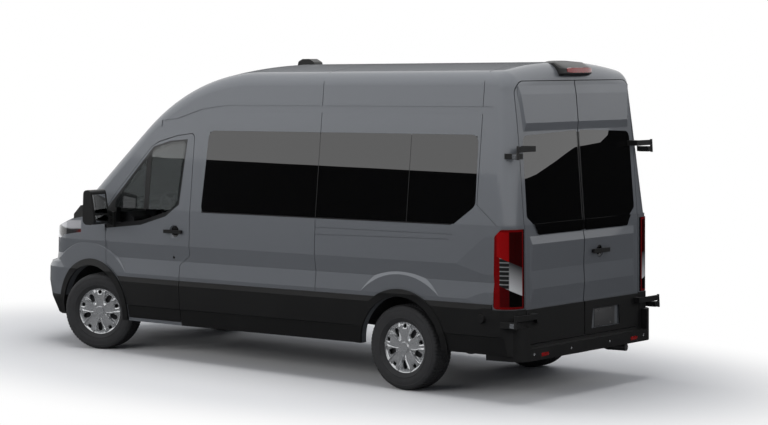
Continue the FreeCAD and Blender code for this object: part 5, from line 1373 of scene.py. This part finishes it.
def brake_lamp_parts():
    """Housing of the high brake lamp with its rounded ends, and the lens let into its rear face."""
    half, lens_half, back, front = 0.215, 0.175, -4.868, -4.64

    def round_in(y):
        return 0.055 * (1.0 - math.sqrt(max(0.0, 1.0 - abs(y / half) ** 3.2)))

    rows = []
    for k in range(41):
        y = half * (2.0 * k / 40 - 1.0)
        turn = round_in(y)
        rows.append([(front, y, 2.52), (back + 0.03 + turn, y, 2.525), (back + turn, y, 2.545),
                     (back + 0.006 + turn, y, 2.585), (back + 0.03 + turn, y, 2.597),
                     (-4.74, y, 2.640 - 0.2 * turn), (front, y, 2.650 - 0.4 * turn)])
    lens = []
    for k in range(29):
        u = 2.0 * k / 28 - 1.0
        y = lens_half * u
        cut = 0.006 * abs(u) ** 6
        x = back - 0.003 + round_in(y)
        lens.append([(x + 0.012, y, 2.548 + cut), (x, y, 2.55 + cut), (x + 0.004, y, 2.590 - cut),
                     (x + 0.016, y, 2.592 - cut)])
    return lofted(rows), lofted(lens)


class MINIBUS_OT_rear(bpy.types.Operator):
    """Fits the brake lamp, plate, a black dish of painted shade in the handle cup, reflectors, sensors, hinge
    leaves and the panes' feet
    """
    bl_idname = "minibus.rear"
    bl_label = "Rear"

    def execute(self, context):
        housing, lens = brake_lamp_parts()
        piece = body_piece("brake_lamp_housing", housing, "trim")
        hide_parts("brake_lamp")
        body_piece("brake_lamp_lens", lens, "red")
        self.plate()
        place = from_rear("rear_door_right", REAR_HANDLE_Y, REAR_HANDLE_Z, 0.001)
        # A black dish in the handle's cup: painted shade in the recess
        cup = moved(cup_shade_dish(REAR_CUP_R, REAR_CUP_DEPTH), place)
        row_piece("rear_handle_cup_shade", cup, "black", "door_rear_right")
        self.bumper()
        self.hinges()
        self.pane_feet()
        return {"FINISHED"}

    def pane_feet(self):
        """The lowest part of each rear pane, below the belt, where the frame's pane stops."""
        low, high, near = 1.253, 1.342, 0.020
        corner = [(0.640 + 0.030 * k / 5.0, low + 0.045 * (k / 5.0) ** 1.6) for k in range(6)]
        outline = [(near + 0.012, low), (near, low + 0.012), (near, high), (0.702, high)]
        outline += [(y, z) for y, z in reversed(corner)] + [(0.590, low)]
        for side, label in SIDES:
            node = "rear_door_" + label
            face = (BODY.inverted() @ touch(node, (-8.0, side * 0.4, 1.20), (1, 0, 0))[0]).x - 0.0015
            pane = lofted([[(x, side * y, z) for y, z in outline] for x in (face, face + 0.004)])
            body_piece("rear_pane_foot_" + label, pane, "privacy", "door_rear_" + label, smooth=False)

    def plate(self):
        body = "door_rear_right"
        base = from_rear("rear_door_right", PLATE_Y, PLATE_Z, 0.001)
        panel = bevelled_block(PLATE_PANEL_SIZE, 0.0015, 1)
        row_piece("plate_panel", moved(panel, base), "grey", body)
        lift = Matrix.Translation((0, 0, 0.006))
        plate = moved(bevelled_block(PLATE_SIZE, 0.0008, 2), base @ lift)
        row_piece("number_plate_blank", plate, "plate", body)
        screws = []
        for x in (-0.09, 0.09):
            for y in (0.062, -0.062):
                screws.append(moved(bolt_head(0.004), base @ Matrix.Translation((x, y, 0.007))))
        row_piece("plate_screws", joined(screws), "bright", body)

    def bumper(self):
        reflectors = [moved(bevelled_block(REFLECTOR_SIZE, 0.003, 2),
                            from_rear("rear_bumper", y, REFLECTOR_Z, -REFLECTOR_SUNK)) for y in REFLECTOR_Y]
        sensors = [moved(button(0.012, 0.003), from_rear("rear_bumper", y, SENSOR_Z, -SENSOR_SUNK))
                   for y in SENSOR_Y]
        row_piece("bumper_reflectors", joined(reflectors), "red")
        row_piece("bumper_sensors", joined(sensors), "cover")

    def hinges(self):
        leaves = []
        for low, high in islands("door_hinges"):
            side = LEFT if low.y > 0 else RIGHT
            z = 0.5 * (low.z + high.z)
            x = low.x + 0.045
            place = from_side("door_hinges", side, x, z)
            leaves.append(moved(bevelled_block((0.045, 0.036, 0.005), 0.0015, 1), place))
            for dx in (-0.014, 0.014):
                leaves.append(moved(bolt_head(0.006), place @ Matrix.Translation((dx, 0, 0.002))))
        row_piece("hinge_leaves", joined(leaves), "grey")


# Underside

class MINIBUS_OT_bolts(bpy.types.Operator):
    """Sets four bolts under the front cross-member"""
    bl_idname = "minibus.bolts"
    bl_label = "Bolts"

    def execute(self, context):
        heads = []
        for x in (-0.13, 0.13):
            for y in (-0.40, 0.40):
                heads.append(moved(bolt_head(0.011), seat_on("subframe", (x, y, -1.0), (0, 0, 1))))
        row_piece("subframe_bolts", joined(heads), "bright")
        return {"FINISHED"}


# Panel in the sidebar, and the run

OPERATORS = (MINIBUS_OT_finishes, MINIBUS_OT_stage, MINIBUS_OT_tyres, MINIBUS_OT_wheels, MINIBUS_OT_seats,
             MINIBUS_OT_cabin, MINIBUS_OT_front, MINIBUS_OT_rear, MINIBUS_OT_bolts)


class MINIBUS_PT_panel(bpy.types.Panel):
    """Lists the sizes, the finishes and the steps"""
    bl_idname = "MINIBUS_PT_panel"
    bl_label = "Minibus"
    bl_space_type = "VIEW_3D"
    bl_region_type = "UI"
    bl_category = "Minibus"

    def draw(self, context):
        for settings in (context.scene.minibus_finish, context.scene.minibus_sizes):
            for key in settings.__annotations__:
                self.layout.prop(settings, key)
        for kind in OPERATORS:
            self.layout.operator(kind.bl_idname)


CLASSES = (MinibusFinish, MinibusSizes) + OPERATORS + (MINIBUS_PT_panel,)


def register():
    for kind in CLASSES:
        bpy.utils.register_class(kind)
    bpy.types.Scene.minibus_finish = PointerProperty(type=MinibusFinish)
    bpy.types.Scene.minibus_sizes = PointerProperty(type=MinibusSizes)


def unregister():
    del bpy.types.Scene.minibus_sizes
    del bpy.types.Scene.minibus_finish
    for kind in reversed(CLASSES):
        bpy.utils.unregister_class(kind)


def main():
    register()
    bpy.ops.minibus.finishes()
    bpy.ops.minibus.stage()
    bpy.ops.minibus.tyres()
    bpy.ops.minibus.wheels()
    bpy.ops.minibus.seats()
    bpy.ops.minibus.cabin()
    bpy.ops.minibus.front()
    bpy.ops.minibus.rear()
    bpy.ops.minibus.bolts()
    bpy.context.view_layer.update()


if __name__ == "__main__":
    main()
